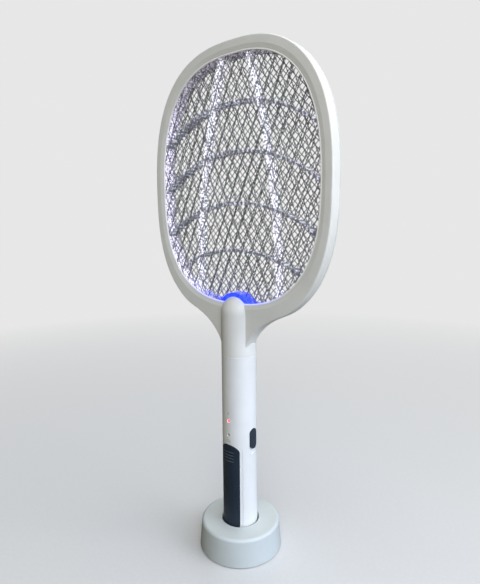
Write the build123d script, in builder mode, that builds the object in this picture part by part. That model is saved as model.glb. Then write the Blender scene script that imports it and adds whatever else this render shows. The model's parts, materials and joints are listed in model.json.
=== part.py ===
from build123d import *
from math import copysign, cos, hypot, radians, sin
import os

os.makedirs("parts", exist_ok=True)

# Electric fly swatter in its charging stand. Millimetres, +Z up, front towards -Y.
# The origin is the centre of the stand's base, on the surface that it stands on.

# ---------------------------------------------------------------- driving dimensions
# Stand
STAND_TOP = 28.8
STAND_TOP_RADIUS = 40.6
STAND_BASE_RADIUS = 42.9
STAND_WALL = 2.3
STAND_EDGE_ROUND = 3.0
SHELL_LIFT = 0.8
FOOT_HEIGHT = 1.2
FOOT_RADII = (35.0, 39.0)
COVER_TOP = 3.0
COVER_RADIUS = 40.2
WELL_RADIUS = 19.4
WELL_FLOOR = 6.7
WELL_FLOOR_THICKNESS = 2.0
WELL_WALL = 2.0
WELL_EDGE_ROUND = 0.8
BALLAST_RADII = (24.0, 37.5)
BALLAST_Z = (3.2, 8.0)
STAND_SCREW_CIRCLE = 31.0
STAND_SCREW_START = 150.0
STAND_BOSS_RADIUS = 3.2
STAND_SCREW_HEAD = (2.6, 1.0)
STAND_SCREW_SHANK = (1.0, 9.5)
CONTACT_SPACING = 12.0
CONTACT_RADIUS = 1.6
CONTACT_BOARD_RADIUS = 15.0
SOCKET_WIDTH = 8.8
SOCKET_HEIGHT = 3.6
SOCKET_DEPTH = 8.6
SOCKET_INSET = 0.9
SOCKET_WALL = 0.4
SOCKET_TONGUE = (6.4, 0.7)
SOCKET_FLOOR = 1.6

# Handle
HANDLE_BOTTOM = 7.0
SEAM_Z = 207.0
CAP_SEAM_Z = 9.5
BOTTOM_RADIUS = 18.0
NECK_RADIUS = 17.5
BORE_RADIUS = 15.6
SEAM_CHAMFER = 0.3
CAP_CHAMFER = 1.2
PAD_RADIUS = 2.5
PAD_THICKNESS = 1.0
NECK_SCREW_Z = 199.5
NECK_SCREW_HEAD = (2.1, 0.8)
NECK_SCREW_SHANK = (1.0, 4.5)
SCREW_SUNK = 0.1
HOLE_CLEARANCE = 0.05
LOOSE_CLEARANCE = 0.2
BEYOND = 20.0

# Trigger
TRIGGER_TOP = 115.5
TRIGGER_BOTTOM = 18.0
TRIGGER_HALF_WIDTH = 10.7
TRIGGER_END_HEIGHT = 13.0
TRIGGER_SHOULDER_DROP = 7.5
TRIGGER_CORNER = 2.6
TRIGGER_CORNER_GROWTH = 0.7
TRIGGER_GAP = 0.5
TRIGGER_INNER_RADIUS = 15.9
TRIGGER_PROUD = 0.4
SURROUND = (2.3, 2.8)
SURROUND_DEPTH = 0.7
RIDGE = (13.5, 1.1)
RIDGE_PITCH = 3.2
RIDGE_PROUD = 0.5
RIDGE_COUNT = 4
RIDGE_TOP_DROP = 7.2
PIVOT_Y = -9.5
PIVOT_Z = 24.0
PIN_RADIUS = 1.2
SWITCH_Z = 60.0

# Side mode switch and its recess, on the +X side
KNOB_Z = 121.2
KNOB_LENGTH = 21.0
KNOB_WIDTH = 9.6
KNOB_TRAVEL = 5.5
KNOB_GAP = 0.35
KNOB_PROUD = 0.8
KNOB_LIFT = 0.3
RECESS_FLOOR_RADIUS = 16.5
STEM = (3.2, 6.0)
STEM_TIP_X = 12.2
STEM_GAP = 0.4
MODE_BODY_X = (9.7, 14.0)
MODE_BODY_HALF_WIDTH = 4.2
MODE_BODY_Z = (KNOB_Z - 14.0, KNOB_Z + 9.0)
MODE_WINDOW_HALF_WIDTH = 5.5
MODE_WINDOW_Z = (KNOB_Z - 16.0, KNOB_Z + 14.0)

# Indicator lights, on the front
CHARGE_LIGHT_Z = 140.7
POWER_LIGHT_Z = 126.1
LIGHT_RADIUS = 1.0
LIGHT_SINK_RADIUS = 1.9
LIGHT_SINK_SET_BACK = 1.5

# Circuit board and what it carries
BOARD_FRONT = -6.6
BOARD_THICKNESS = 1.6
BOARD_BACK = BOARD_FRONT + BOARD_THICKNESS
BATTERY_RADIUS = 9.1
BATTERY_Y = 4.6
BATTERY_Z = (118.0, 183.0)
BATTERY_ROUND = 0.8
BATTERY_CONTACT = (6.0, 1.0)
BATTERY_CONTACT_REAR = 11.0
CHASSIS_RADII = (14.1, 15.3)
CHASSIS_Z = (20.0, 190.0)
BOARD_HALF_WIDTH = 12.2
BOARD_Z = (32.0, 188.0)
TRANSFORMER_Z = (72.0, 92.0)
TRANSFORMER_HALF_WIDTH = 7.0
TRANSFORMER_WAIST = 5.0
TRANSFORMER_DEPTHS = (3.0, 11.0, 14.0)
CAPACITOR_HALF_WIDTH = 9.0
CAPACITOR_DEPTH = 8.0
CAPACITOR_ROUND = 1.0
CAPACITOR_Z = [(40.0, 49.0), (53.0, 62.0)]
LED_HALF_WIDTH = 1.2
LED_DEPTH = 0.9

# Head, seen from the front: a superellipse opening in a flat ring
OPENING_HALF_WIDTH = 95.3
OPENING_Z = 368.4
OPENING_UP = 120.6
OPENING_DOWN = 109.8
OPENING_POWER = 2.55
RIM_SIDE = 11.2
RIM_TOP = 11.85
RIM_BOTTOM = 17.7
FLARE = [(28.0, 234.6), (21.2, 226.6), (17.4, 219.9), (15.3, 215.0), (13.5, 211.0)]
FLARE_START_X = 44.0

# Head, through its thickness
FACE_Y = -8.4
REAR_Y = 9.2
SPLIT_Y = 3.4
SEAM_GROOVE = (0.5, 0.35)
PLATE = 2.0
WALL = 2.0
DISH_WIDTH = 4.6
DISH_DEPTH = 1.1
FRONT_INSIDE = FACE_Y + PLATE
REAR_INSIDE = REAR_Y - PLATE
REAR_ROUND = 5.4
FACE_ROUND = 1.2
CAVITY_STEP = 1.5
SHEET = 0.8
SPACER_DEPTH = (REAR_INSIDE - FRONT_INSIDE - 3 * SHEET) / 2
SHEET_EDGE = 3.8
HEAD_SCREW_LINE = 6.6
HEAD_SCREW_COUNT = 8
HEAD_SCREW_HEAD = (1.8, 0.9)
HEAD_SCREW_SHANK = (0.9, 9.0)
HEAD_SCREW_SET_BACK = 1.2
BOSS_RADIUS = 2.4
BOSS_STEP = 2.0
BOSS_ROOT = 0.5

# Clear ribs between the grids
RIB_THICKNESS = 1.8
LONG_RIB_RADIUS = 700.0
LONG_RIB_X = 49.0
LONG_RIB_Z = 275.0
ARCH_RADIUS = 150.0
ARCH_CROWNS = [448.0, 403.5, 356.0, 310.8]
RING_INSET = 0.3

# Grids: diamonds on the outer faces, squares set on a corner in the middle
DIAMOND = (12.0, 27.0)
SQUARE = (17.0, 17.0)
STRAND = 1.0

# Neck dome and lamp
DOME_Z = 249.0
DOME_WALL = 2.0
SPIGOT_BOTTOM = 192.0
SPIGOT_RADII = (13.3, 15.3)
SPIGOT_TOP = 212.0
LENS_RADII = (18.3, 20.3)
LENS_FLANGE_RADIUS = 15.2
LENS_FLANGE = 1.0
LENS_LEG_BOTTOM = 243.0
LENS_CLEARANCE = 0.3
LAMP_SLOT_Z = (240.0, 268.0)
LAMP_WIDTH = 60.0
LAMP_BOARD_REAR = 1.2
LAMP_BOARD_RADIUS = 14.0
LAMP_BOARD_BOTTOM = 240.0
LAMP_LED_ANGLES = [50, 90, 130]
LAMP_LED = (1.5, 3.0)


# ---------------------------------------------------------------- shared shapes
def facing(y):
    """The upright plane at depth y: sketches read (x, z) and extrude towards the front."""
    return Plane.XZ.offset(-y)


def handle_radius(z):
    """Outer radius of the slightly tapered handle."""
    taper = (BOTTOM_RADIUS - NECK_RADIUS) / (SEAM_Z - HANDLE_BOTTOM)
    return BOTTOM_RADIUS - taper * (z - HANDLE_BOTTOM)


def superellipse_point(angle, half_width, up, down):
    """A point of the head's superellipse at a parameter angle in degrees."""
    across = cos(radians(angle))
    along = sin(radians(angle))
    height = up if along > 0 else down
    x = copysign(abs(across) ** (2 / OPENING_POWER), across) * half_width
    z = copysign(abs(along) ** (2 / OPENING_POWER), along) * height
    return (x, OPENING_Z + z)


def rim_point(angle, grow):
    """A point of the opening's edge, moved outwards by grow."""
    return superellipse_point(
        angle, OPENING_HALF_WIDTH + grow, OPENING_UP + grow, OPENING_DOWN + grow
    )


def inside_opening(x, z, grow):
    """Whether a point lies inside the opening's edge, moved outwards by grow."""
    height = (OPENING_UP if z > OPENING_Z else OPENING_DOWN) + grow
    across = abs(x) / (OPENING_HALF_WIDTH + grow)
    along = abs(z - OPENING_Z) / height
    return across**OPENING_POWER + along**OPENING_POWER < 1


def draw_opening(grow, mode=Mode.ADD):
    """Draw the opening's outline, grown by an amount, into the open sketch."""
    with BuildLine() as edge:
        Spline(*[rim_point(angle, grow) for angle in range(0, 360, 10)], periodic=True)
    make_face(edge.edges(), mode=mode)


def moved_inwards(points, inset):
    """Points of the head's right half, from the top down, each moved inwards by inset."""
    mirrored_start = (-points[1][0], points[1][1])
    befores = [mirrored_start] + points[:-1]
    afters = points[1:] + points[-1:]
    moved = []
    for (x, z), before, after in zip(points, befores, afters):
        across = after[0] - before[0]
        along = after[1] - before[1]
        length = hypot(across, along)
        moved.append((x + inset * along / length, z - inset * across / length))
    return moved


def draw_head_outline(inset, mode=Mode.ADD):
    """Draw the head's outer outline, with its flare into the neck, into the open sketch."""
    sizes = (
        OPENING_HALF_WIDTH + RIM_SIDE,
        OPENING_UP + RIM_TOP,
        OPENING_DOWN + RIM_BOTTOM,
    )
    round_part = [superellipse_point(angle, *sizes) for angle in range(90, -90, -10)]
    round_part = [(x, z) for x, z in round_part if z > OPENING_Z or x > FLARE_START_X]
    edge = moved_inwards(round_part + FLARE, inset)
    with BuildLine() as half:
        Spline(*edge, tangents=[(1, 0), (-0.4, -1)])
        Line(edge[-1], (0, edge[-1][1]))
        mirror(half.line, about=Plane.YZ)
    make_face(half.edges(), mode=mode)


def draw_trigger(grow, mode=Mode.ADD):
    """Draw the trigger's front view, grown by an amount, into the open sketch."""
    half_width = TRIGGER_HALF_WIDTH + grow
    shoulder = (half_width, TRIGGER_TOP - TRIGGER_SHOULDER_DROP)
    knee_z = TRIGGER_TOP - TRIGGER_CORNER + grow * TRIGGER_CORNER_GROWTH
    knee = (half_width - TRIGGER_CORNER, knee_z)
    crown = (0, TRIGGER_TOP + grow)
    end_top = TRIGGER_BOTTOM + TRIGGER_END_HEIGHT
    with BuildLine() as half:
        EllipticalCenterArc(
            (0, end_top), half_width, TRIGGER_END_HEIGHT + grow, start_angle=-90, arc_size=90
        )
        Line((half_width, end_top), shoulder)
        Spline(shoulder, knee, crown, tangents=[(0, 1), (-1, 0)])
        mirror(half.line, about=Plane.YZ)
    make_face(half.edges(), mode=mode)


def lattice(cell, clear_of_edge):
    """Centres of the diamond holes that lie wholly inside the opening and off the lamp."""
    width, length = cell
    lamp = LENS_RADII[1] + LENS_CLEARANCE + STRAND
    rows = int(2 * OPENING_UP / length) + 1
    columns = int(OPENING_HALF_WIDTH / width) + 1
    centres = []
    for row in range(-rows, rows + 1):
        for column in range(-columns, columns + 1):
            x = (column + (row % 2) / 2) * width
            z = OPENING_Z + row * length / 2
            corners = [
                (x - width / 2, z),
                (x + width / 2, z),
                (x, z - length / 2),
                (x, z + length / 2),
            ]
            fits = all(inside_opening(*corner, -clear_of_edge) for corner in corners)
            free = all(hypot(cx, cz - DOME_Z) > lamp for cx, cz in corners)
            if fits and free:
                centres.append((x, z))
    return centres


def draw_sheet():
    """Draw a clamped layer's outline: the opening with a margin, notched for the lamp."""
    draw_opening(SHEET_EDGE)
    with Locations((0, DOME_Z)):
        Circle(LENS_RADII[1] + LENS_CLEARANCE, mode=Mode.SUBTRACT)


def draw_grid(cell):
    """Draw a punched grid with diamond holes into the open sketch."""
    width, length = cell
    across = width * length / hypot(width, length)
    shrink = (across - STRAND) / across
    half_width = shrink * width / 2
    half_length = shrink * length / 2
    corners = [(half_width, 0), (0, half_length), (-half_width, 0), (0, -half_length)]
    draw_sheet()
    with Locations(*lattice(cell, STRAND / 2)):
        Polygon(*corners, align=None, mode=Mode.SUBTRACT)


def rib(centre, radius):
    """One bowed rib: a circular band cut to the opening."""
    with BuildSketch() as band:
        with Locations(centre):
            Circle(radius + RIB_THICKNESS / 2)
            Circle(radius - RIB_THICKNESS / 2, mode=Mode.SUBTRACT)
        draw_opening(SHEET_EDGE / 2, mode=Mode.INTERSECT)
    return band.sketch


def draw_ribs():
    """Draw the clear spacer: a clamped ring, two long bowed ribs and the arches."""
    draw_sheet()
    draw_opening(RING_INSET, mode=Mode.SUBTRACT)
    for side in (1, -1):
        add(rib((side * (LONG_RIB_X - LONG_RIB_RADIUS), LONG_RIB_Z), LONG_RIB_RADIUS))
    for crown in ARCH_CROWNS:
        add(rib((0, crown - ARCH_RADIUS), ARCH_RADIUS))


def disc(radius, bottom, top, mode=Mode.ADD):
    """Make a plain disc about the stand's axis in the open part."""
    with BuildSketch(Plane.XY.offset(bottom)) as base:
        Circle(radius)
    extrude(base.sketch, amount=top - bottom, mode=mode)


def ring(inner, outer, bottom, top):
    """Make a plain ring about the stand's axis in the open part."""
    disc(outer, bottom, top)
    disc(inner, bottom, top, mode=Mode.SUBTRACT)


def save(piece, label):
    """Label a finished piece and write its STEP file."""
    piece.part.label = label
    export_step(piece.part, f"parts/{label}.step")


# ---------------------------------------------------------------- stand
def stand_pegs(radius, bottom, top, mode=Mode.ADD):
    """Make a round peg at each of the stand's screws in the open part."""
    with BuildSketch(Plane.XY.offset(bottom)) as ends:
        with PolarLocations(STAND_SCREW_CIRCLE, 3, start_angle=STAND_SCREW_START):
            Circle(radius)
    extrude(ends.sketch, amount=top - bottom, mode=mode)


def contact_pegs(radius, bottom, top, mode=Mode.ADD):
    """Make a round peg at each of the two charging contacts in the open part."""
    with BuildSketch(Plane.XY.offset(bottom)) as ends:
        with GridLocations(CONTACT_SPACING, 0, 2, 1):
            Circle(radius)
    extrude(ends.sketch, amount=top - bottom, mode=mode)


def socket_mouth(inset):
    """The upright plane of the charging socket's mouth at the rear: sketches read (x, z)."""
    middle = BALLAST_Z[1] + SOCKET_HEIGHT / 2
    return Plane.XZ.offset(inset - STAND_BASE_RADIUS) * Pos(0, middle)


with BuildPart() as stand_shell:
    with BuildSketch(Plane.XZ):
        with BuildLine():
            Polyline(
                (STAND_BASE_RADIUS, SHELL_LIFT),
                (STAND_TOP_RADIUS, STAND_TOP),
                (WELL_RADIUS, STAND_TOP),
                (WELL_RADIUS, WELL_FLOOR),
                (0, WELL_FLOOR),
                (0, WELL_FLOOR - WELL_FLOOR_THICKNESS),
                (WELL_RADIUS + WELL_WALL, WELL_FLOOR - WELL_FLOOR_THICKNESS),
                (WELL_RADIUS + WELL_WALL, STAND_TOP - STAND_WALL),
                (STAND_TOP_RADIUS - STAND_WALL, STAND_TOP - STAND_WALL),
                (STAND_BASE_RADIUS - STAND_WALL, SHELL_LIFT),
                close=True,
            )
        make_face()
    revolve(axis=Axis.Z)
    top_edges = stand_shell.edges().filter_by(GeomType.CIRCLE).group_by(Axis.Z)[-1]
    fillet(top_edges.sort_by(SortBy.RADIUS)[-1], STAND_EDGE_ROUND)
    fillet(top_edges.sort_by(SortBy.RADIUS)[0], WELL_EDGE_ROUND)
    stand_pegs(STAND_BOSS_RADIUS, COVER_TOP, STAND_TOP - STAND_WALL / 2)
    stand_pegs(
        STAND_SCREW_SHANK[0] + HOLE_CLEARANCE,
        COVER_TOP,
        COVER_TOP + STAND_SCREW_SHANK[1],
        mode=Mode.SUBTRACT,
    )
    contact_pegs(CONTACT_RADIUS + 2 * HOLE_CLEARANCE, 0, WELL_FLOOR, mode=Mode.SUBTRACT)
    with BuildSketch(socket_mouth(0)):
        Rectangle(SOCKET_WIDTH + SOCKET_WALL, SOCKET_HEIGHT + SOCKET_WALL)
    extrude(amount=SOCKET_DEPTH, mode=Mode.SUBTRACT)
save(stand_shell, "stand_shell")

with BuildPart() as stand_bottom_cover:
    disc(COVER_RADIUS, FOOT_HEIGHT, COVER_TOP)
    head_radius, head_height = STAND_SCREW_HEAD
    sunk = FOOT_HEIGHT + head_height
    stand_pegs(head_radius + LOOSE_CLEARANCE, FOOT_HEIGHT, sunk, mode=Mode.SUBTRACT)
    stand_pegs(STAND_SCREW_SHANK[0] + LOOSE_CLEARANCE, sunk, COVER_TOP, mode=Mode.SUBTRACT)
save(stand_bottom_cover, "stand_bottom_cover")

with BuildPart() as stand_foot_ring:
    ring(*FOOT_RADII, 0, FOOT_HEIGHT)
save(stand_foot_ring, "stand_foot_ring")

with BuildPart() as stand_ballast:
    ring(*BALLAST_RADII, *BALLAST_Z)
    stand_pegs(STAND_BOSS_RADIUS + 2 * LOOSE_CLEARANCE, *BALLAST_Z, mode=Mode.SUBTRACT)
save(stand_ballast, "stand_ballast")

with BuildPart() as stand_contact_board:
    disc(CONTACT_BOARD_RADIUS, COVER_TOP, COVER_TOP + BOARD_THICKNESS)
save(stand_contact_board, "stand_contact_board")

with BuildPart() as stand_contact_studs:
    stud_bottom = COVER_TOP + BOARD_THICKNESS
    contact_pegs(CONTACT_RADIUS, stud_bottom, HANDLE_BOTTOM - HOLE_CLEARANCE)
save(stand_contact_studs, "stand_contact_studs")

with BuildPart() as charging_socket:
    with BuildSketch(socket_mouth(SOCKET_INSET)):
        SlotOverall(SOCKET_WIDTH, SOCKET_HEIGHT)
    extrude(amount=SOCKET_DEPTH)
    with BuildSketch(socket_mouth(SOCKET_INSET)):
        SlotOverall(SOCKET_WIDTH - 2 * SOCKET_WALL, SOCKET_HEIGHT - 2 * SOCKET_WALL)
        Rectangle(*SOCKET_TONGUE, mode=Mode.SUBTRACT)
    extrude(amount=SOCKET_DEPTH - SOCKET_FLOOR, mode=Mode.SUBTRACT)
save(charging_socket, "charging_socket")

with BuildPart() as stand_screws:
    stand_pegs(head_radius, FOOT_HEIGHT, sunk)
    stand_pegs(STAND_SCREW_SHANK[0], sunk, sunk + STAND_SCREW_SHANK[1])
save(stand_screws, "stand_screws")


# ---------------------------------------------------------------- handle shell
def neck_screw_place(radius):
    """The place of the screw at the rear of the neck joint, facing rearwards."""
    return Plane(origin=(0, radius, NECK_SCREW_Z), x_dir=(-1, 0, 0), z_dir=(0, 1, 0))


def wall_shell(inner, proud):
    """Make a sleeve that follows the handle's taper, standing proud of it, in the open part."""
    with BuildSketch(Plane.XZ) as wall:
        with BuildLine():
            Polyline(
                (inner, CAP_SEAM_Z),
                (handle_radius(CAP_SEAM_Z) + proud, CAP_SEAM_Z),
                (handle_radius(SEAM_Z) + proud, SEAM_Z),
                (inner, SEAM_Z),
                close=True,
            )
        make_face()
    revolve(wall.sketch, axis=Axis.Z, mode=Mode.INTERSECT)


THROUGH_WALL = NECK_RADIUS / 3
CAP_SPIGOT_TOP = CHASSIS_Z[0] - 1.0

with BuildPart() as trigger_groove:
    with BuildSketch(Plane.XZ):
        draw_trigger(SURROUND[1])
        draw_trigger(SURROUND[0], mode=Mode.SUBTRACT)
    extrude(amount=2 * BOTTOM_RADIUS)
    wall_shell(BOTTOM_RADIUS - SURROUND_DEPTH, 1.0)

with BuildPart() as knob_recess:
    with BuildSketch(Plane.YZ):
        with Locations((0, KNOB_Z - KNOB_TRAVEL / 2)):
            SlotOverall(
                KNOB_LENGTH + KNOB_TRAVEL + 2 * KNOB_GAP, KNOB_WIDTH + 2 * KNOB_GAP, rotation=90
            )
    extrude(amount=2 * BOTTOM_RADIUS)
    wall_shell(RECESS_FLOOR_RADIUS, 1.0)

with BuildPart() as handle_tube:
    with BuildSketch(Plane.XZ):
        with BuildLine():
            Polyline(
                (BORE_RADIUS, CAP_SEAM_Z),
                (handle_radius(CAP_SEAM_Z), CAP_SEAM_Z),
                (NECK_RADIUS, SEAM_Z),
                (BORE_RADIUS, SEAM_Z),
                close=True,
            )
        make_face()
    revolve(axis=Axis.Z)
    rims = handle_tube.edges().filter_by(GeomType.CIRCLE).sort_by(SortBy.RADIUS)[-2:]
    chamfer(rims, SEAM_CHAMFER)
    with BuildSketch(Plane.XZ):
        draw_trigger(TRIGGER_GAP)
    extrude(amount=2 * BOTTOM_RADIUS, mode=Mode.SUBTRACT)
    add(trigger_groove, mode=Mode.SUBTRACT)
    add(knob_recess, mode=Mode.SUBTRACT)
    with BuildSketch(Plane.YZ):
        with Locations((0, KNOB_Z - KNOB_TRAVEL / 2)):
            Rectangle(STEM[0] + 2 * STEM_GAP, STEM[1] + KNOB_TRAVEL + 2 * STEM_GAP)
    extrude(amount=2 * BOTTOM_RADIUS, mode=Mode.SUBTRACT)
    for light_z in (CHARGE_LIGHT_Z, POWER_LIGHT_Z):
        with Locations(Plane(origin=(0, -handle_radius(light_z), light_z), z_dir=(0, -1, 0))):
            CounterSinkHole(LIGHT_RADIUS + 2 * HOLE_CLEARANCE, LIGHT_SINK_RADIUS, THROUGH_WALL)
    with Locations(neck_screw_place(NECK_RADIUS)):
        CounterBoreHole(
            NECK_SCREW_SHANK[0] + LOOSE_CLEARANCE,
            NECK_SCREW_HEAD[0] + LOOSE_CLEARANCE,
            NECK_SCREW_HEAD[1] + LOOSE_CLEARANCE,
            THROUGH_WALL,
        )
save(handle_tube, "handle_tube")

with BuildPart() as end_cap:
    with BuildSketch(Plane.XZ):
        with BuildLine():
            Polyline(
                (0, HANDLE_BOTTOM),
                (BOTTOM_RADIUS - CAP_CHAMFER, HANDLE_BOTTOM),
                (BOTTOM_RADIUS, HANDLE_BOTTOM + CAP_CHAMFER),
                (handle_radius(CAP_SEAM_Z), CAP_SEAM_Z),
                (SPIGOT_RADII[1], CAP_SEAM_Z),
                (SPIGOT_RADII[1], CAP_SPIGOT_TOP),
                (SPIGOT_RADII[0], CAP_SPIGOT_TOP),
                (SPIGOT_RADII[0], CAP_SEAM_Z),
                (0, CAP_SEAM_Z),
                close=True,
            )
        make_face()
    revolve(axis=Axis.Z)
    pad_top = HANDLE_BOTTOM + PAD_THICKNESS
    contact_pegs(PAD_RADIUS + HOLE_CLEARANCE, HANDLE_BOTTOM, pad_top, mode=Mode.SUBTRACT)
save(end_cap, "end_cap")

with BuildPart() as charge_contact_pads:
    contact_pegs(PAD_RADIUS, HANDLE_BOTTOM, pad_top)
save(charge_contact_pads, "charge_contact_pads")


# ---------------------------------------------------------------- handle insides
def block(x_span, y_span, z_span, mode=Mode.ADD):
    """Make a box from its limits along the three axes in the open part."""
    with BuildSketch(Plane.XY.offset(z_span[0])) as base:
        with Locations(((x_span[0] + x_span[1]) / 2, (y_span[0] + y_span[1]) / 2)):
            Rectangle(x_span[1] - x_span[0], y_span[1] - y_span[0])
    extrude(base.sketch, amount=z_span[1] - z_span[0], mode=mode)


def cross_bar(radius, x_span, y, z, mode=Mode.ADD):
    """Make a round bar along X in the open part."""
    with BuildSketch(Plane.YZ.offset(x_span[0])) as end:
        with Locations((y, z)):
            Circle(radius)
    extrude(end.sketch, amount=x_span[1] - x_span[0], mode=mode)


EAR_X = (8.3, 10.2)
EAR_HALF_HEIGHT = 2.0
EAR_FRONT_Y = PIVOT_Y - 1.9
BRIDGE_HALF_WIDTH = 12.9
BRIDGE_Y = (BOARD_FRONT - 0.2, BOARD_FRONT + 1.2)
BRIDGE_Z = (CHASSIS_Z[0], BOARD_Z[0] - 0.5)
CHASSIS_FRONT = BRIDGE_Y[0] - 1.2
PIN_FIT = 0.02

with BuildPart() as inner_chassis:
    ring(*CHASSIS_RADII, *CHASSIS_Z)
    block((-BEYOND, BEYOND), (-BEYOND, CHASSIS_FRONT), CHASSIS_Z, mode=Mode.SUBTRACT)
    block((-BRIDGE_HALF_WIDTH, BRIDGE_HALF_WIDTH), BRIDGE_Y, BRIDGE_Z)
    for side in (1, -1):
        ear = sorted((side * EAR_X[0], side * EAR_X[1]))
        ear_z = (PIVOT_Z - EAR_HALF_HEIGHT, PIVOT_Z + EAR_HALF_HEIGHT)
        block(ear, (EAR_FRONT_Y, BRIDGE_Y[1]), ear_z)
    cross_bar(PIN_RADIUS + PIN_FIT, (-BEYOND, BEYOND), PIVOT_Y, PIVOT_Z, mode=Mode.SUBTRACT)
    window_y = (-MODE_WINDOW_HALF_WIDTH, MODE_WINDOW_HALF_WIDTH)
    block((MODE_BODY_X[0] - 1, BEYOND), window_y, MODE_WINDOW_Z, mode=Mode.SUBTRACT)
save(inner_chassis, "inner_chassis")

with BuildPart() as main_circuit_board:
    block((-BOARD_HALF_WIDTH, BOARD_HALF_WIDTH), (BOARD_FRONT, BOARD_BACK), BOARD_Z)
save(main_circuit_board, "main_circuit_board")

with BuildPart() as high_voltage_transformer:
    near, far, rear = [BOARD_BACK + depth for depth in TRANSFORMER_DEPTHS]
    flange_x = (-TRANSFORMER_HALF_WIDTH, TRANSFORMER_HALF_WIDTH)
    block(flange_x, (BOARD_BACK, near), TRANSFORMER_Z)
    block((-TRANSFORMER_WAIST, TRANSFORMER_WAIST), (near, far), TRANSFORMER_Z)
    block(flange_x, (far, rear), TRANSFORMER_Z)
save(high_voltage_transformer, "high_voltage_transformer")

with BuildPart() as high_voltage_capacitors:
    for capacitor_z in CAPACITOR_Z:
        capacitor_x = (-CAPACITOR_HALF_WIDTH, CAPACITOR_HALF_WIDTH)
        block(capacitor_x, (BOARD_BACK, BOARD_BACK + CAPACITOR_DEPTH), capacitor_z)
    fillet(high_voltage_capacitors.edges().filter_by(Axis.Z), CAPACITOR_ROUND)
save(high_voltage_capacitors, "high_voltage_capacitors")

with BuildPart() as battery_cell:
    with BuildSketch(Plane.XY.offset(BATTERY_Z[0])):
        with Locations((0, BATTERY_Y)):
            Circle(BATTERY_RADIUS)
    extrude(amount=BATTERY_Z[1] - BATTERY_Z[0])
    fillet(battery_cell.edges(), BATTERY_ROUND)
save(battery_cell, "battery_cell")

with BuildPart() as battery_contacts:
    half_width, thickness = BATTERY_CONTACT
    contact_y = (BOARD_BACK, BATTERY_CONTACT_REAR)
    for low in (BATTERY_Z[0] - thickness, BATTERY_Z[1]):
        block((-half_width, half_width), contact_y, (low, low + thickness))
save(battery_contacts, "battery_contacts")

with BuildPart() as indicator_leds:
    for light_z in (CHARGE_LIGHT_Z, POWER_LIGHT_Z):
        led_z = (light_z - LIGHT_RADIUS, light_z + LIGHT_RADIUS)
        block((-LED_HALF_WIDTH, LED_HALF_WIDTH), (BOARD_FRONT - LED_DEPTH, BOARD_FRONT), led_z)
save(indicator_leds, "indicator_leds")

for name, light_z in (("charge_light_pipe", CHARGE_LIGHT_Z), ("power_light_pipe", POWER_LIGHT_Z)):
    with BuildPart() as light_pipe:
        with BuildSketch(facing(BOARD_FRONT - LED_DEPTH)):
            with Locations((0, light_z)):
                Circle(LIGHT_RADIUS)
        extrude(amount=handle_radius(light_z) + BOARD_FRONT - LIGHT_SINK_SET_BACK)
    save(light_pipe, name)

with BuildPart() as neck_screw:
    crown = NECK_RADIUS - SCREW_SUNK
    seat = crown - NECK_SCREW_HEAD[1]
    for (radius, length), rear in ((NECK_SCREW_HEAD, crown), (NECK_SCREW_SHANK, seat)):
        with BuildSketch(neck_screw_place(rear)):
            Circle(radius)
        extrude(amount=-length)
save(neck_screw, "neck_screw")


# ---------------------------------------------------------------- trigger and its switch
LUG_X = (5.0, 7.6)
LUG_RADIUS = 2.2
LUG_ROOT_Y = -15.0
SWITCH_FRONT = BOARD_FRONT - 4.4
SWITCH_HALF = 3.1
SWITCH_BORE = 3.0
PLUNGER_FRONT = -12.9
PLUNGER_REAR = SWITCH_FRONT + 1.5
PLUNGER_RADIUS = 1.75
POST_HALF = 2.0
POST_Y = (-TRIGGER_INNER_RADIUS - 0.5, PLUNGER_FRONT - 0.2)
SPRING_RADII = (1.6, 2.2)
SPRING_X = (3.7, 4.4)
SPRING_LEG_Y = (BOARD_FRONT - 1.1, BOARD_FRONT - 0.5)
SPRING_LEG_LENGTH = 6.0
RIDGE_Z = [TRIGGER_TOP - RIDGE_TOP_DROP - RIDGE_PITCH * count for count in range(RIDGE_COUNT)]

with BuildPart() as trigger_skin:
    with BuildSketch(Plane.XZ):
        draw_trigger(0)
    extrude(amount=2 * BOTTOM_RADIUS)
    wall_shell(TRIGGER_INNER_RADIUS, TRIGGER_PROUD)

with BuildPart() as trigger_ridges:
    with BuildSketch(Plane.XZ):
        with Locations(*[(0, z) for z in RIDGE_Z]):
            SlotOverall(*RIDGE)
    extrude(amount=2 * BOTTOM_RADIUS)
    wall_shell(TRIGGER_INNER_RADIUS + 1, TRIGGER_PROUD + RIDGE_PROUD)

with BuildPart() as grip_trigger:
    add(trigger_skin)
    add(trigger_ridges)
    for side in (1, -1):
        lug = sorted((side * LUG_X[0], side * LUG_X[1]))
        block(lug, (LUG_ROOT_Y, PIVOT_Y), (PIVOT_Z - LUG_RADIUS, PIVOT_Z + LUG_RADIUS))
        cross_bar(LUG_RADIUS, lug, PIVOT_Y, PIVOT_Z)
    lug_reach = (-LUG_X[1] - 1, LUG_X[1] + 1)
    cross_bar(PIN_RADIUS + HOLE_CLEARANCE, lug_reach, PIVOT_Y, PIVOT_Z, mode=Mode.SUBTRACT)
    block((-POST_HALF, POST_HALF), POST_Y, (SWITCH_Z - POST_HALF, SWITCH_Z + POST_HALF))
save(grip_trigger, "grip_trigger")

with BuildPart() as trigger_pivot_pin:
    cross_bar(PIN_RADIUS, (-EAR_X[1], EAR_X[1]), PIVOT_Y, PIVOT_Z)
save(trigger_pivot_pin, "trigger_pivot_pin")

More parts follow.
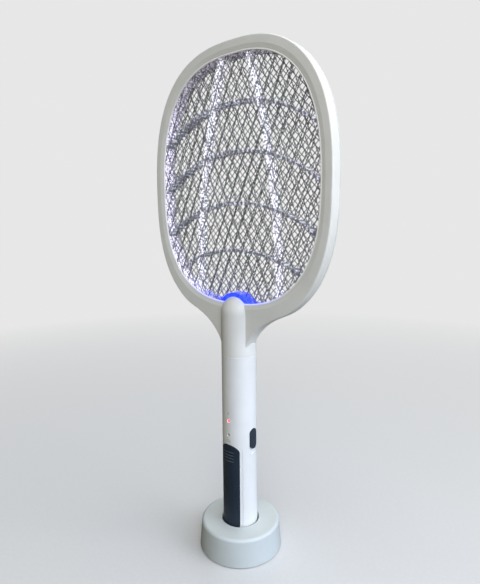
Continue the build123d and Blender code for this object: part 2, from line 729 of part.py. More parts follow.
with BuildPart() as trigger_return_spring:
    coil_x = (-SPRING_X[1], SPRING_X[1])
    cross_bar(SPRING_RADII[1], coil_x, PIVOT_Y, PIVOT_Z)
    cross_bar(SPRING_RADII[0], coil_x, PIVOT_Y, PIVOT_Z, mode=Mode.SUBTRACT)
    for side in (1, -1):
        leg = sorted((side * SPRING_X[0], side * SPRING_X[1]))
        block(leg, SPRING_LEG_Y, (PIVOT_Z, PIVOT_Z + SPRING_LEG_LENGTH))
save(trigger_return_spring, "trigger_return_spring")

with BuildPart() as trigger_switch_body:
    switch_z = (SWITCH_Z - SWITCH_HALF, SWITCH_Z + SWITCH_HALF)
    block((-SWITCH_HALF, SWITCH_HALF), (SWITCH_FRONT, BOARD_FRONT), switch_z)
    with BuildSketch(facing(SWITCH_FRONT + SWITCH_BORE)):
        with Locations((0, SWITCH_Z)):
            Circle(PLUNGER_RADIUS + HOLE_CLEARANCE)
    extrude(amount=SWITCH_BORE, mode=Mode.SUBTRACT)
save(trigger_switch_body, "trigger_switch_body")

with BuildPart() as trigger_switch_plunger:
    with BuildSketch(facing(PLUNGER_REAR)):
        with Locations((0, SWITCH_Z)):
            Circle(PLUNGER_RADIUS)
    extrude(amount=PLUNGER_REAR - PLUNGER_FRONT)
save(trigger_switch_plunger, "trigger_switch_plunger")


# ---------------------------------------------------------------- side mode switch
with BuildPart() as knob_cap:
    with BuildSketch(Plane.YZ):
        with Locations((0, KNOB_Z)):
            SlotOverall(KNOB_LENGTH, KNOB_WIDTH, rotation=90)
    extrude(amount=2 * BOTTOM_RADIUS)
    wall_shell(RECESS_FLOOR_RADIUS + KNOB_LIFT, KNOB_PROUD)

with BuildPart() as mode_switch_knob:
    add(knob_cap)
    stem_x = (STEM_TIP_X, RECESS_FLOOR_RADIUS + 2 * KNOB_LIFT)
    block(stem_x, (-STEM[0] / 2, STEM[0] / 2), (KNOB_Z - STEM[1] / 2, KNOB_Z + STEM[1] / 2))
save(mode_switch_knob, "mode_switch_knob")

with BuildPart() as mode_switch_body:
    block(MODE_BODY_X, (-MODE_BODY_HALF_WIDTH, MODE_BODY_HALF_WIDTH), MODE_BODY_Z)
    slot_half_width = STEM[0] / 2 + STEM_GAP
    slot_reach = STEM[1] / 2 + STEM_GAP
    block(
        (STEM_TIP_X - STEM_GAP, MODE_BODY_X[1]),
        (-slot_half_width, slot_half_width),
        (KNOB_Z - KNOB_TRAVEL - slot_reach, KNOB_Z + slot_reach),
        mode=Mode.SUBTRACT,
    )
save(mode_switch_body, "mode_switch_body")


# ---------------------------------------------------------------- head shell
def rim_places():
    """Where the head's screws stand, seen from the front."""
    step = 360 / HEAD_SCREW_COUNT
    angles = [step * (count + 0.5) for count in range(HEAD_SCREW_COUNT)]
    return Locations(*[rim_point(angle, HEAD_SCREW_LINE) for angle in angles])


def posts(radius, front, rear, mode=Mode.ADD):
    """Make a round post at each head screw between two depths in the open part."""
    with BuildSketch(facing(rear)) as ends:
        with rim_places():
            Circle(radius)
    extrude(ends.sketch, amount=rear - front, mode=mode)


def capsule(radius, bottom):
    """Draw half a round-ended neck profile into the open sketch."""
    with BuildLine() as half:
        Polyline((0, bottom), (radius, bottom), (radius, DOME_Z))
        RadiusArc((radius, DOME_Z), (0, DOME_Z + radius), -radius)
        Line((0, DOME_Z + radius), (0, bottom))
    make_face(half.edges())


SCREW_SEAT_Y = REAR_Y - HEAD_SCREW_SET_BACK
SCREW_TIP_Y = SCREW_SEAT_Y - HEAD_SCREW_SHANK[1]

with BuildPart() as neck:
    with BuildSketch(Plane.XZ):
        capsule(NECK_RADIUS, SEAM_Z)
    revolve(axis=Axis.Z)
    seam = neck.edges().filter_by(GeomType.CIRCLE).sort_by(Axis.Z)[0]
    chamfer(seam, SEAM_CHAMFER)
    disc(SPIGOT_RADII[1], SPIGOT_BOTTOM, SEAM_Z + 1)

with BuildPart() as neck_void:
    with BuildSketch(Plane.XZ):
        capsule(NECK_RADIUS - DOME_WALL, SPIGOT_TOP)
    revolve(axis=Axis.Z)
    disc(SPIGOT_RADII[0], SPIGOT_BOTTOM, SPIGOT_TOP)
    slot_half = NECK_RADIUS + 1
    block((-slot_half, slot_half), (FRONT_INSIDE, REAR_INSIDE), LAMP_SLOT_Z)
    with Locations(neck_screw_place(NECK_RADIUS)):
        Cylinder(NECK_SCREW_SHANK[0] + HOLE_CLEARANCE, 2 * NECK_SCREW_SHANK[1] + 3)

with BuildPart() as head_cavity:
    with BuildSketch(facing(REAR_INSIDE - CAVITY_STEP)):
        draw_head_outline(WALL)
    extrude(amount=REAR_INSIDE - CAVITY_STEP - FRONT_INSIDE)
    with BuildSketch(facing(REAR_INSIDE)):
        draw_head_outline(WALL + CAVITY_STEP)
    extrude(amount=CAVITY_STEP)

with BuildPart() as head_shell:
    with BuildSketch(facing(REAR_Y)):
        draw_head_outline(0)
    extrude(amount=REAR_Y - FACE_Y)
    faces_by_depth = head_shell.faces().sort_by(Axis.Y)
    front_edge = faces_by_depth[0].edges().sort_by(SortBy.LENGTH)[-1]
    rear_edge = faces_by_depth[-1].edges().sort_by(SortBy.LENGTH)[-1]
    fillet(rear_edge, REAR_ROUND)
    fillet(front_edge, FACE_ROUND)
    add(head_cavity, mode=Mode.SUBTRACT)
    with BuildSketch(facing(REAR_Y)):
        draw_opening(0)
    extrude(amount=REAR_Y - FACE_Y, mode=Mode.SUBTRACT)
    with BuildSketch(facing(FACE_Y)):
        draw_opening(DISH_WIDTH)
    with BuildSketch(facing(FACE_Y + DISH_DEPTH)):
        draw_opening(-DISH_WIDTH / 10)
    loft(mode=Mode.SUBTRACT)
    with BuildSketch(facing(SPLIT_Y + SEAM_GROOVE[0])):
        draw_head_outline(-1)
        draw_head_outline(SEAM_GROOVE[1], mode=Mode.SUBTRACT)
    extrude(amount=SEAM_GROOVE[0], mode=Mode.SUBTRACT)
    add(neck)
    add(neck_void, mode=Mode.SUBTRACT)

with BuildPart() as head_front_frame:
    add(head_shell)
    split(bisect_by=facing(SPLIT_Y), keep=Keep.TOP)
    posts(BOSS_RADIUS, FRONT_INSIDE - BOSS_ROOT, SPLIT_Y - BOSS_STEP)
    posts(HEAD_SCREW_SHANK[0] + HOLE_CLEARANCE, SCREW_TIP_Y - 1, SPLIT_Y, mode=Mode.SUBTRACT)
save(head_front_frame, "head_front_frame")

with BuildPart() as head_rear_frame:
    add(head_shell)
    split(bisect_by=facing(SPLIT_Y), keep=Keep.BOTTOM)
    posts(BOSS_RADIUS, SPLIT_Y - BOSS_STEP + LOOSE_CLEARANCE, REAR_INSIDE + BOSS_ROOT)
    posts(HEAD_SCREW_SHANK[0] + 2 * HOLE_CLEARANCE, SPLIT_Y - BOSS_STEP, REAR_Y, mode=Mode.SUBTRACT)
    posts(HEAD_SCREW_HEAD[0] + LOOSE_CLEARANCE, SCREW_SEAT_Y, REAR_Y + 1, mode=Mode.SUBTRACT)
save(head_rear_frame, "head_rear_frame")

with BuildPart() as head_screws:
    posts(HEAD_SCREW_HEAD[0], SCREW_SEAT_Y, SCREW_SEAT_Y + HEAD_SCREW_HEAD[1])
    posts(HEAD_SCREW_SHANK[0], SCREW_TIP_Y, SCREW_SEAT_Y)
save(head_screws, "head_screws")

# ---------------------------------------------------------------- head layers, front to rear
FRONT_SPACER_REAR = FRONT_INSIDE + SHEET + SPACER_DEPTH
MIDDLE_GRID_REAR = FRONT_SPACER_REAR + SHEET

grids = [
    ("front_outer_grid", DIAMOND, FRONT_INSIDE + SHEET),
    ("high_voltage_grid", SQUARE, MIDDLE_GRID_REAR),
    ("rear_outer_grid", DIAMOND, REAR_INSIDE),
]
for name, cell, rear in grids:
    with BuildPart() as grid:
        with BuildSketch(facing(rear)):
            draw_grid(cell)
        extrude(amount=SHEET)
    save(grid, name)

spacers = [
    ("front_rib_spacer", FRONT_SPACER_REAR),
    ("rear_rib_spacer", MIDDLE_GRID_REAR + SPACER_DEPTH),
]
for name, rear in spacers:
    with BuildPart() as spacer:
        with BuildSketch(facing(rear)):
            draw_ribs()
        extrude(amount=SPACER_DEPTH)
    save(spacer, name)


# ---------------------------------------------------------------- lamp
def draw_lens(inner):
    """Draw the lens's arch and its two straight legs into the open sketch."""
    with Locations((0, DOME_Z)):
        Circle(LENS_RADII[1])
    with Locations((0, (DOME_Z + LENS_LEG_BOTTOM) / 2)):
        Rectangle(2 * LENS_RADII[1], DOME_Z - LENS_LEG_BOTTOM)
    with Locations((0, DOME_Z)):
        Circle(inner, mode=Mode.SUBTRACT)
    with Locations((0, LENS_LEG_BOTTOM - LENS_RADII[1])):
        Rectangle(LAMP_WIDTH, 2 * LENS_RADII[1], mode=Mode.SUBTRACT)
    with Locations((0, LENS_LEG_BOTTOM)):
        Rectangle(2 * inner, 2 * (DOME_Z - LENS_LEG_BOTTOM), mode=Mode.SUBTRACT)


with BuildPart() as lamp_lens:
    with BuildSketch(facing(REAR_INSIDE)):
        draw_lens(LENS_RADII[0])
    extrude(amount=REAR_INSIDE - FRONT_INSIDE)
    for rear in (REAR_INSIDE, FRONT_INSIDE + LENS_FLANGE):
        with BuildSketch(facing(rear)):
            draw_lens(LENS_FLANGE_RADIUS)
        extrude(amount=LENS_FLANGE)
save(lamp_lens, "lamp_lens")

with BuildPart() as lamp_board:
    with BuildSketch(facing(LAMP_BOARD_REAR)):
        with Locations((0, DOME_Z)):
            Circle(LAMP_BOARD_RADIUS)
        with Locations((0, LAMP_BOARD_BOTTOM - LAMP_BOARD_RADIUS)):
            Rectangle(LAMP_WIDTH, 2 * LAMP_BOARD_RADIUS, mode=Mode.SUBTRACT)
    extrude(amount=BOARD_THICKNESS)
save(lamp_board, "lamp_board")

with BuildPart() as lamp_leds:
    led_base = LAMP_BOARD_RADIUS + LOOSE_CLEARANCE
    for angle in LAMP_LED_ANGLES:
        outwards = (cos(radians(angle)), 0, sin(radians(angle)))
        base = (
            led_base * outwards[0],
            LAMP_BOARD_REAR - BOARD_THICKNESS / 2,
            DOME_Z + led_base * outwards[2],
        )
        with BuildSketch(Plane(origin=base, z_dir=outwards)):
            Circle(LAMP_LED[0])
        extrude(amount=LAMP_LED[1])
save(lamp_leds, "lamp_leds")
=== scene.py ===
import json
from math import asin, copysign, cos, hypot, pi, radians, sin

import bmesh
import bpy
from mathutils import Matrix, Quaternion, Vector, noise

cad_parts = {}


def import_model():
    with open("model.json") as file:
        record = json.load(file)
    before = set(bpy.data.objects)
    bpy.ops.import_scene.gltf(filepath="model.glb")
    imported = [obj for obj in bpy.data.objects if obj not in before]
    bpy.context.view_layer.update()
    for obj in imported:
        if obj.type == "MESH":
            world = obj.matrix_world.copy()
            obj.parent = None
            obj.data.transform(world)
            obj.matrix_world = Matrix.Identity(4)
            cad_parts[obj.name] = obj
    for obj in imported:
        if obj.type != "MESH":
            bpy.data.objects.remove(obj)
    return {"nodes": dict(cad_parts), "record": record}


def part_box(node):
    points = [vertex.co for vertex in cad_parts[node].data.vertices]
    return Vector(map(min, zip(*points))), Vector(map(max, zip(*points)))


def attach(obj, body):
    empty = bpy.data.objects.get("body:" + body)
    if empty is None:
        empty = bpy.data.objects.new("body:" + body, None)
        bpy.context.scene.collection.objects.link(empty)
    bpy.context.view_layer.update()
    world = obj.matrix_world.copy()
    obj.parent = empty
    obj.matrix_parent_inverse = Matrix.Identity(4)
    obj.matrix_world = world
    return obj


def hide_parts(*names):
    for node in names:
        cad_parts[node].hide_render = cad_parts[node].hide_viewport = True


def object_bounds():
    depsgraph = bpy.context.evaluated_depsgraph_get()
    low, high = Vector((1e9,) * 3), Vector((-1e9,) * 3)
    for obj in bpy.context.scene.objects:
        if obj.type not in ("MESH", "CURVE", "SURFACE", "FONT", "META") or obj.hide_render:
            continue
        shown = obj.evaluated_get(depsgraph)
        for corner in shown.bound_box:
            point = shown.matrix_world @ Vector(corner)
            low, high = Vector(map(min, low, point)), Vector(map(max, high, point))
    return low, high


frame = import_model()
cad_low, cad_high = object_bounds()
nodes = frame["nodes"]
scene = bpy.context.scene

# Metres, +Z up, front towards -Y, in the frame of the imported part.
MM = 0.001

# ---------------------------------------------------------------- head and handle
# The clamped layers reach past the opening by the sheet edge, and the wires stop just short of that.
SHEET_EDGE = 3.8 * MM
SHEET_MARGIN = 0.4 * MM
LAMP_CLEAR = 20.6 * MM
GRID_LOW, GRID_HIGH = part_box("rear_outer_grid")
LENS_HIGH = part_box("lamp_lens")[1]
LENS_RADIUS = LENS_HIGH.x
DOME_Z = LENS_HIGH.z - LENS_RADIUS
# The opening is a superellipse that is taller above its widest height than below it.
OPENING_POWER = 2.55
OPENING_HALF_WIDTH = GRID_HIGH.x - SHEET_EDGE
OPENING_Z = 368.4 * MM
OPENING_UP = GRID_HIGH.z - SHEET_EDGE - OPENING_Z
OPENING_DOWN = 109.8 * MM
SEAM_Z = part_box("handle_tube")[1].z
HANDLE_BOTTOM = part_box("end_cap")[0].z
NECK_RADIUS = 17.5 * MM
BOTTOM_RADIUS = 18.0 * MM


def middle(node):
    """The centre of a CAD node's box."""
    low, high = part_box(node)
    return (low + high) / 2


def handle_radius(z):
    """Outer radius of the slightly tapered handle."""
    share = (z - HANDLE_BOTTOM) / (SEAM_Z - HANDLE_BOTTOM)
    return BOTTOM_RADIUS + (NECK_RADIUS - BOTTOM_RADIUS) * share


def rim_point(angle, grow):
    """A point of the head's superellipse opening, moved outwards by grow."""
    across = cos(angle)
    along = sin(angle)
    height = (OPENING_UP if along > 0 else OPENING_DOWN) + grow
    x = copysign(abs(across) ** (2 / OPENING_POWER), across) * (OPENING_HALF_WIDTH + grow)
    z = copysign(abs(along) ** (2 / OPENING_POWER), along) * height
    return Vector((x, 0, OPENING_Z + z))


def inside_opening(point, grow):
    """Whether a point lies inside the opening, moved outwards by grow."""
    height = (OPENING_UP if point.z > OPENING_Z else OPENING_DOWN) + grow
    across = abs(point.x) / (OPENING_HALF_WIDTH + grow)
    along = abs(point.z - OPENING_Z) / height
    return across**OPENING_POWER + along**OPENING_POWER < 1


def in_layer(point, grow):
    """Whether a clamped layer reaches a point: inside the opening and clear of the lamp."""
    return inside_opening(point, grow) and hypot(point.x, point.z - DOME_Z) > LAMP_CLEAR


# ---------------------------------------------------------------- shader helpers
NOISE_MIDDLE = 0.5


def shader(tree, kind, settings=None, **inputs):
    """Add a shader node. Inputs are plain values or the sockets that feed them."""
    made = tree.nodes.new("ShaderNode" + kind)
    for name, value in (settings or {}).items():
        setattr(made, name, value)
    for name, value in inputs.items():
        socket = made.inputs[name.replace("_", " ")]
        if isinstance(value, bpy.types.NodeSocket):
            tree.links.new(value, socket)
        else:
            socket.default_value = value
    return made


def blended(tree, factor, first, second):
    """The mix of two colours, each a colour or a socket."""
    mix = tree.nodes.new("ShaderNodeMix")
    mix.data_type = "RGBA"
    for place, value in ((0, factor), (6, first), (7, second)):
        if isinstance(value, bpy.types.NodeSocket):
            tree.links.new(value, mix.inputs[place])
        elif place:
            mix.inputs[place].default_value = (*value, 1)
        else:
            mix.inputs[place].default_value = value
    return mix.outputs[2]


def ranged(tree, value, low, high, to_low, to_high):
    """A value moved from one range to another, and held inside it."""
    made = shader(tree, "MapRange", Value=value, From_Min=low, From_Max=high, To_Min=to_low, To_Max=to_high)
    return made.outputs["Result"]


def speckle(tree, coordinates, scale, detail=3.0):
    """Noise of so many features to the metre."""
    made = shader(tree, "TexNoise", Vector=coordinates, Scale=scale, Detail=detail)
    return made.outputs["Fac"]


def mottled(tree, coordinates, scale, low, high, detail=3.0, softness=0.2):
    """Noise between a low and a high value. The smaller its softness, the more of it is at one of the two."""
    patches = speckle(tree, coordinates, scale, detail)
    return ranged(tree, patches, NOISE_MIDDLE - softness, NOISE_MIDDLE + softness, low, high)


def maths(tree, operation, *values):
    """A math node's result."""
    made = shader(tree, "Math", {"operation": operation})
    for place, value in enumerate(values):
        if isinstance(value, bpy.types.NodeSocket):
            tree.links.new(value, made.inputs[place])
        else:
            made.inputs[place].default_value = value
    return made.outputs[0]


def parts_of(tree, vector):
    """The X, Y and Z outputs of a vector."""
    return shader(tree, "SeparateXYZ", Vector=vector).outputs


def surface_normal(tree):
    """The X, Y and Z outputs of the direction that a surface faces."""
    return parts_of(tree, tree.nodes.new("ShaderNodeNewGeometry").outputs["Normal"])


def from_lamp(tree, coordinates):
    """Distance from the middle of the lamp."""
    away = shader(tree, "VectorMath", {"operation": "DISTANCE"}, Vector=coordinates)
    away.inputs[1].default_value = (0, 0, DOME_Z)
    return away.outputs["Value"]


def waves(tree, along, pitch):
    """A sine wave of a given pitch along a coordinate."""
    return maths(tree, "SINE", maths(tree, "MULTIPLY", along, 2 * pi / pitch))


def shade(colour, factor):
    """A colour made lighter or darker."""
    return tuple(min(1.0, channel * factor) for channel in colour)


def start_material(name, **constants):
    """A new material: its tree, its Principled shader and its object coordinates."""
    made = bpy.data.materials.new(name)
    made.use_nodes = True
    tree = made.node_tree
    principled = tree.nodes["Principled BSDF"]
    for key, value in constants.items():
        principled.inputs[key.replace("_", " ")].default_value = value
    coordinates = tree.nodes.new("ShaderNodeTexCoord").outputs["Object"]
    return made, tree, principled, coordinates


def finish_material(tree, principled, colour, roughness, height, strength, distance):
    """Link the worked-out colour, roughness and bump."""
    tree.links.new(colour, principled.inputs["Base Color"])
    tree.links.new(roughness, principled.inputs["Roughness"])
    bump = shader(tree, "Bump", Strength=strength, Distance=distance, Height=height)
    tree.links.new(bump.outputs["Normal"], principled.inputs["Normal"])


# ---------------------------------------------------------------- materials
DUST = (0.50, 0.48, 0.43)
# Colour of the painted glow of the lamp's light on the clear ribs and the lip.
LAMP_BLUE = (0.02, 0.05, 1.0)
# Painted colour of the lamp's light on the clear plastic nearest the lamp.
LIT_PLASTIC = (0.03, 0.05, 0.45)
# Paler and darker colours of the painted shade bands at the clips, in the ring's far, shaded part.
CLIP_SHADE_COLOURS = ((0.50, 0.41, 0.40), (0.045, 0.03, 0.03))
CLIP_PITCH = 9 * MM
# Pitch of the painted light on the teeth and painted shade in the gaps between them.
TOOTH_PITCH = 5.25 * MM
# Length over which the painted shade sets in on the clear plastic.
PAINTED_SHADE_LENGTH = 60 * MM
# The painted colour of the lamp's light reaches this share of the way that its painted glow does.
TINT_REACH = 0.7
# How much darker the dull blotches on a wire are.
WIRE_BLOTCH = 0.35
# Length, pitch and gap of a circuit board's tracks.
TRACK_SIZE = (6 * MM, 2.2 * MM, 0.4 * MM)


def moulded(name, colour, roughness=0.38, mottle=0.035, grain=1800, depth=0.12, dust=0.12, **constants):
    """Injection-moulded plastic: fine spark grain, faint flow variation, rubbed patches and dust."""
    made, tree, principled, at = start_material(name, **constants)
    flow = mottled(tree, at, 38, 0, 1)
    body = blended(tree, flow, shade(colour, 1 - mottle), shade(colour, 1 + mottle))
    settled = ranged(tree, surface_normal(tree)["Z"], 0.35, 1, 0, dust)
    patches = ranged(tree, speckle(tree, at, 420, 5), 0.42, 0.66, 0.2, 1)
    dusty = maths(tree, "MULTIPLY", settled, patches)
    tinted = blended(tree, dusty, body, DUST)
    rubbed = mottled(tree, at, 160, roughness - 0.07, roughness + 0.09, detail=4, softness=0.15)
    fine = speckle(tree, at, grain, 2)
    finish_material(tree, principled, tinted, rubbed, fine, depth, 0.15 * MM)
    return made


def wire(name, colour, roughness=0.32):
    """Drawn steel wire: bright, with dull blotches and a fine roughness."""
    made, tree, principled, at = start_material(name, Metallic=1.0)
    blotches = mottled(tree, at, 260, 0, 1, detail=4, softness=0.12)
    body = blended(tree, blotches, shade(colour, 1 - WIRE_BLOTCH), colour)
    dull = mottled(tree, at, 900, roughness - 0.1, roughness + 0.16)
    fine = speckle(tree, at, 4200, 2)
    finish_material(tree, principled, body, dull, fine, 0.35, 0.1 * MM)
    return made


def machined(name, colour, roughness=0.25):
    """Plated metal: brushed sheen and darker, tarnished patches."""
    made, tree, principled, at = start_material(name, Metallic=1.0)
    tarnish = ranged(tree, speckle(tree, at, 330, 5), 0.45, 0.7, 0, 0.6)
    body = blended(tree, tarnish, colour, shade(colour, 0.55))
    brushed = shader(tree, "Mapping", Vector=at, Scale=(1.0, 14.0, 14.0)).outputs["Vector"]
    strokes = speckle(tree, brushed, 700, 2)
    dull = ranged(tree, strokes, 0.3, 0.7, roughness - 0.08, roughness + 0.15)
    finish_material(tree, principled, body, dull, strokes, 0.2, 0.05 * MM)
    return made


def clear_plastic(name, dark, pale, tint, far_painted_glow, reach, strength, painted_shade_from=1.0, sides=1.0, dashes=1.0):
    """Clear ribs: rippled plastic with streaked painted reflections, a painted glow of the lamp's light
    so far from it, and painted shade beyond a distance.

    Sides is the share of painted light on the faces that look sideways, dashes the share in the gaps between
    teeth, where painted shade falls. At each clip a band of painted shade crosses the shaded far part.
    """
    made, tree, principled, at = start_material(name, IOR=1.49, Transmission_Weight=0.2)
    distance = from_lamp(tree, at)
    # Painted lamp light: the colour turns blue near the lamp.
    near = ranged(tree, distance, LENS_RADIUS, LENS_RADIUS + reach * TINT_REACH, 1, 0)
    # Painted shade: beyond a distance the plastic turns dark.
    far = ranged(tree, distance, painted_shade_from, painted_shade_from + PAINTED_SHADE_LENGTH, 0, 1)
    # Painted reflections: streaks between the dark and the pale colour.
    painted_reflections = mottled(tree, at, 640, 0, 1, detail=4, softness=0.06)
    across = parts_of(tree, at)["X"]
    # Painted light by facing: sideways faces get less, and so do the gaps between teeth.
    flat_on = maths(tree, "ABSOLUTE", surface_normal(tree)["Y"])
    painted_face_light = ranged(tree, flat_on, 0.5, 0.9, sides, 1)
    painted_teeth_light = ranged(tree, waves(tree, across, TOOTH_PITCH), -0.3, 0.3, dashes, 1)
    # The painted reflections and painted light pick between the dark and the pale colour.
    bright = maths(tree, "MULTIPLY", painted_reflections, maths(tree, "MULTIPLY", painted_face_light, painted_teeth_light))
    plain = blended(tree, bright, dark, pale)
    # Painted shade in the far part: bands at the clips over a darkened dust colour, streaked.
    painted_clip_bands = ranged(tree, waves(tree, across, CLIP_PITCH), -0.2, 0.2, 0, 1)
    painted_clip_shade = blended(tree, painted_clip_bands, *CLIP_SHADE_COLOURS)
    painted_shade_body = blended(tree, far, plain, blended(tree, painted_reflections, painted_clip_shade, shade(DUST, 0.8)))
    # Painted blue lamp light near the lamp, over the rest.
    body = blended(tree, near, painted_shade_body, LIT_PLASTIC)
    frost = mottled(tree, at, 380, 0.05, 0.25, softness=0.15)
    ripples = speckle(tree, at, 800)
    finish_material(tree, principled, body, frost, ripples, 0.55, 0.3 * MM)
    # Painted glow of the lamp's light: strongest at the lamp, weaker far off, none in the painted shade.
    hue = blended(tree, near, tint, LAMP_BLUE)
    tree.links.new(hue, principled.inputs["Emission Color"])
    glow = ranged(tree, distance, LENS_RADIUS, LENS_RADIUS + reach, strength, far_painted_glow)
    uneven = maths(tree, "MULTIPLY", glow, ranged(tree, bright, 0, 1, 0.1, 1.5))
    painted_glow_strength = maths(tree, "MULTIPLY", uneven, maths(tree, "SUBTRACT", 1.0, far))
    tree.links.new(painted_glow_strength, principled.inputs["Emission Strength"])
    return made


def lip_plastic(name, colour, reach, strength):
    """White plastic with a painted blue glow of the lamp's light so far from it."""
    made = moulded(name, colour, roughness=0.34, dust=0.04)
    tree = made.node_tree
    distance = from_lamp(tree, tree.nodes["Texture Coordinate"].outputs["Object"])
    # Painted blue glow of the lamp's light, fading with distance from it.
    near = ranged(tree, distance, LENS_RADIUS, LENS_RADIUS + reach, strength, 0)
    principled = tree.nodes["Principled BSDF"]
    principled.inputs["Emission Color"].default_value = (*LAMP_BLUE, 1)
    tree.links.new(near, principled.inputs["Emission Strength"])
    return made


def lamp_plastic(name, colour, low, high):
    """A lit plastic lens, cloudy, so that it glows more in some places than in others."""
    made, tree, principled, at = start_material(name)
    cloud = mottled(tree, at, 240, 0, 1)
    body = blended(tree, cloud, shade(colour, 0.7), colour)
    soft = mottled(tree, at, 700, 0.2, 0.32, detail=2)
    finish_material(tree, principled, body, soft, speckle(tree, at, 1500, 2), 0.1, 0.1 * MM)
    tree.links.new(body, principled.inputs["Emission Color"])
    level = ranged(tree, cloud, 0, 1, low, high)
    tree.links.new(level, principled.inputs["Emission Strength"])
    return made


def board(name):
    """Circuit board: green lacquer over rows of slightly raised tracks."""
    made, tree, principled, at = start_material(name)
    length, pitch, gap = TRACK_SIZE
    flat = parts_of(tree, at)
    spread = shader(tree, "CombineXYZ", X=flat["X"], Y=flat["Z"]).outputs["Vector"]
    sizes = {"Scale": 1.0, "Mortar_Size": gap, "Brick_Width": length, "Row_Height": pitch}
    track = shader(tree, "TexBrick", {"offset": 0.5}, Vector=spread, **sizes).outputs["Fac"]
    lacquer = blended(tree, mottled(tree, at, 300, 0, 1), (0.01, 0.13, 0.05), (0.02, 0.19, 0.08))
    body = blended(tree, track, lacquer, (0.06, 0.30, 0.12))
    gloss = mottled(tree, at, 900, 0.22, 0.38)
    finish_material(tree, principled, body, gloss, track, 0.5, 0.05 * MM)
    return made


def wound(name, colour, second, turns):
    """Wrapped or sleeved component: bands along its height, with a slight sheen."""
    made, tree, principled, at = start_material(name)
    sizes = {"Scale": turns, "Distortion": 1.2, "Detail": 2.0}
    band = shader(tree, "TexWave", {"bands_direction": "Z"}, Vector=at, **sizes).outputs["Fac"]
    body = blended(tree, ranged(tree, band, 0.4, 0.6, 0, 1), colour, second)
    sheen = mottled(tree, at, 500, 0.25, 0.45)
    finish_material(tree, principled, body, sheen, band, 0.25, 0.1 * MM)
    return made


materials = {
    "head_shell_white": moulded("head_shell_white", (0.70, 0.705, 0.68), roughness=0.42),
    "handle_white": moulded("handle_white", (0.71, 0.722, 0.715), roughness=0.40),
    "stand_green_grey": moulded("stand_green_grey", (0.53, 0.575, 0.575), roughness=0.45),
    "trigger_navy": moulded(
        "trigger_navy", (0.013, 0.024, 0.040), roughness=0.42, mottle=0.12, dust=0.04, Specular_IOR_Level=0.3
    ),
    "knob_navy": moulded(
        "knob_navy", (0.022, 0.034, 0.050), roughness=0.42, mottle=0.12, dust=0.04, Specular_IOR_Level=0.3
    ),
    "clear_rib": clear_plastic(
        "clear_rib",
        (0.15, 0.15, 0.21),
        (1.0, 1.0, 1.0),
        (0.90, 0.89, 1.0),
        far_painted_glow=0.74,
        reach=30 * MM,
        strength=0.9,
        sides=0.75,
    ),
    "clear_arch": clear_plastic(
        "clear_arch",
        (0.22, 0.22, 0.27),
        (0.85, 0.86, 0.92),
        (0.66, 0.68, 0.85),
        far_painted_glow=0.34,
        reach=45 * MM,
        strength=0.6,
        dashes=0.1,
    ),
    "clear_ring": clear_plastic(
        "clear_ring",
        (0.38, 0.35, 0.40),
        (1.0, 0.98, 1.0),
        (0.76, 0.73, 1.0),
        far_painted_glow=0.50,
        reach=80 * MM,
        strength=1.1,
        # The ring's painted shade starts this far from the lamp.
        painted_shade_from=200 * MM,
    ),
    "lamp_blue": lamp_plastic("lamp_blue", (0.02, 0.045, 1.0), 1.6, 2.4),
    "outer_wire": wire("outer_wire", (0.45, 0.47, 0.48)),
    "middle_wire": wire("middle_wire", (0.33, 0.34, 0.33), roughness=0.42),
    "bright_steel": machined("bright_steel", (0.66, 0.66, 0.65)),
    "contact_brass": machined("contact_brass", (0.78, 0.58, 0.26)),
    "board_green": board("board_green"),
    "black_plastic": moulded("black_plastic", (0.020, 0.020, 0.022), roughness=0.45, mottle=0.2, dust=0.04),
    "chassis_white": moulded("chassis_white", (0.62, 0.62, 0.60), roughness=0.5),
    "transformer_yellow": wound("transformer_yellow", (0.72, 0.48, 0.05), (0.50, 0.31, 0.03), 60),
    "capacitor_red": moulded("capacitor_red", (0.33, 0.035, 0.02), roughness=0.3, mottle=0.15, dust=0.04),
    "battery_sleeve": wound("battery_sleeve", (0.04, 0.12, 0.36), (0.05, 0.15, 0.43), 14),
    "light_red": lamp_plastic("light_red", (1.0, 0.03, 0.035), 5.0, 9.0),
    "light_clear": lamp_plastic("light_clear", (0.30, 0.32, 0.36), 0.02, 0.05),
    "led_white": lamp_plastic("led_white", (0.35, 0.45, 1.0), 1.0, 1.6),
    "rubber_grey": moulded("rubber_grey", (0.045, 0.046, 0.050), roughness=0.75, grain=900, depth=0.4),
    "ballast_steel": machined("ballast_steel", (0.30, 0.29, 0.28), roughness=0.42),
    # Paler navy: the painted highlight on the trigger's ridge tops.
    "ridge_painted_highlight_navy": moulded("ridge_painted_highlight_navy", (0.085, 0.105, 0.125), roughness=0.5, mottle=0.25, dust=0.1),
    "print_grey": moulded("print_grey", (0.42, 0.43, 0.44), roughness=0.5, dust=0.02),
    # A brighter copy of the shell's white: a painted highlight along the lip, plus a painted glow.
    "lip_white_painted_highlight": lip_plastic("lip_white_painted_highlight", (0.96, 0.96, 0.95), reach=50 * MM, strength=0.9),
}


# ---------------------------------------------------------------- mesh helpers
SHORTEST_RUN = 4


def piece(name, vertices, faces, slot, body, smooth=True, finish=None):
    """Make a mesh piece that rides on a body and takes its finish from a slot."""
    mesh = bpy.data.meshes.new(name)
    mesh.from_pydata(vertices, [], faces)
    shape = bmesh.new()
    shape.from_mesh(mesh)
    bmesh.ops.recalc_face_normals(shape, faces=shape.faces)
    shape.to_mesh(mesh)
    shape.free()
    mesh.materials.append(materials[finish or slot])
    mesh.polygons.foreach_set("use_smooth", [smooth] * len(faces))
    made = bpy.data.objects.new(name, mesh)
    scene.collection.objects.link(made)
    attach(made, body)
    return made


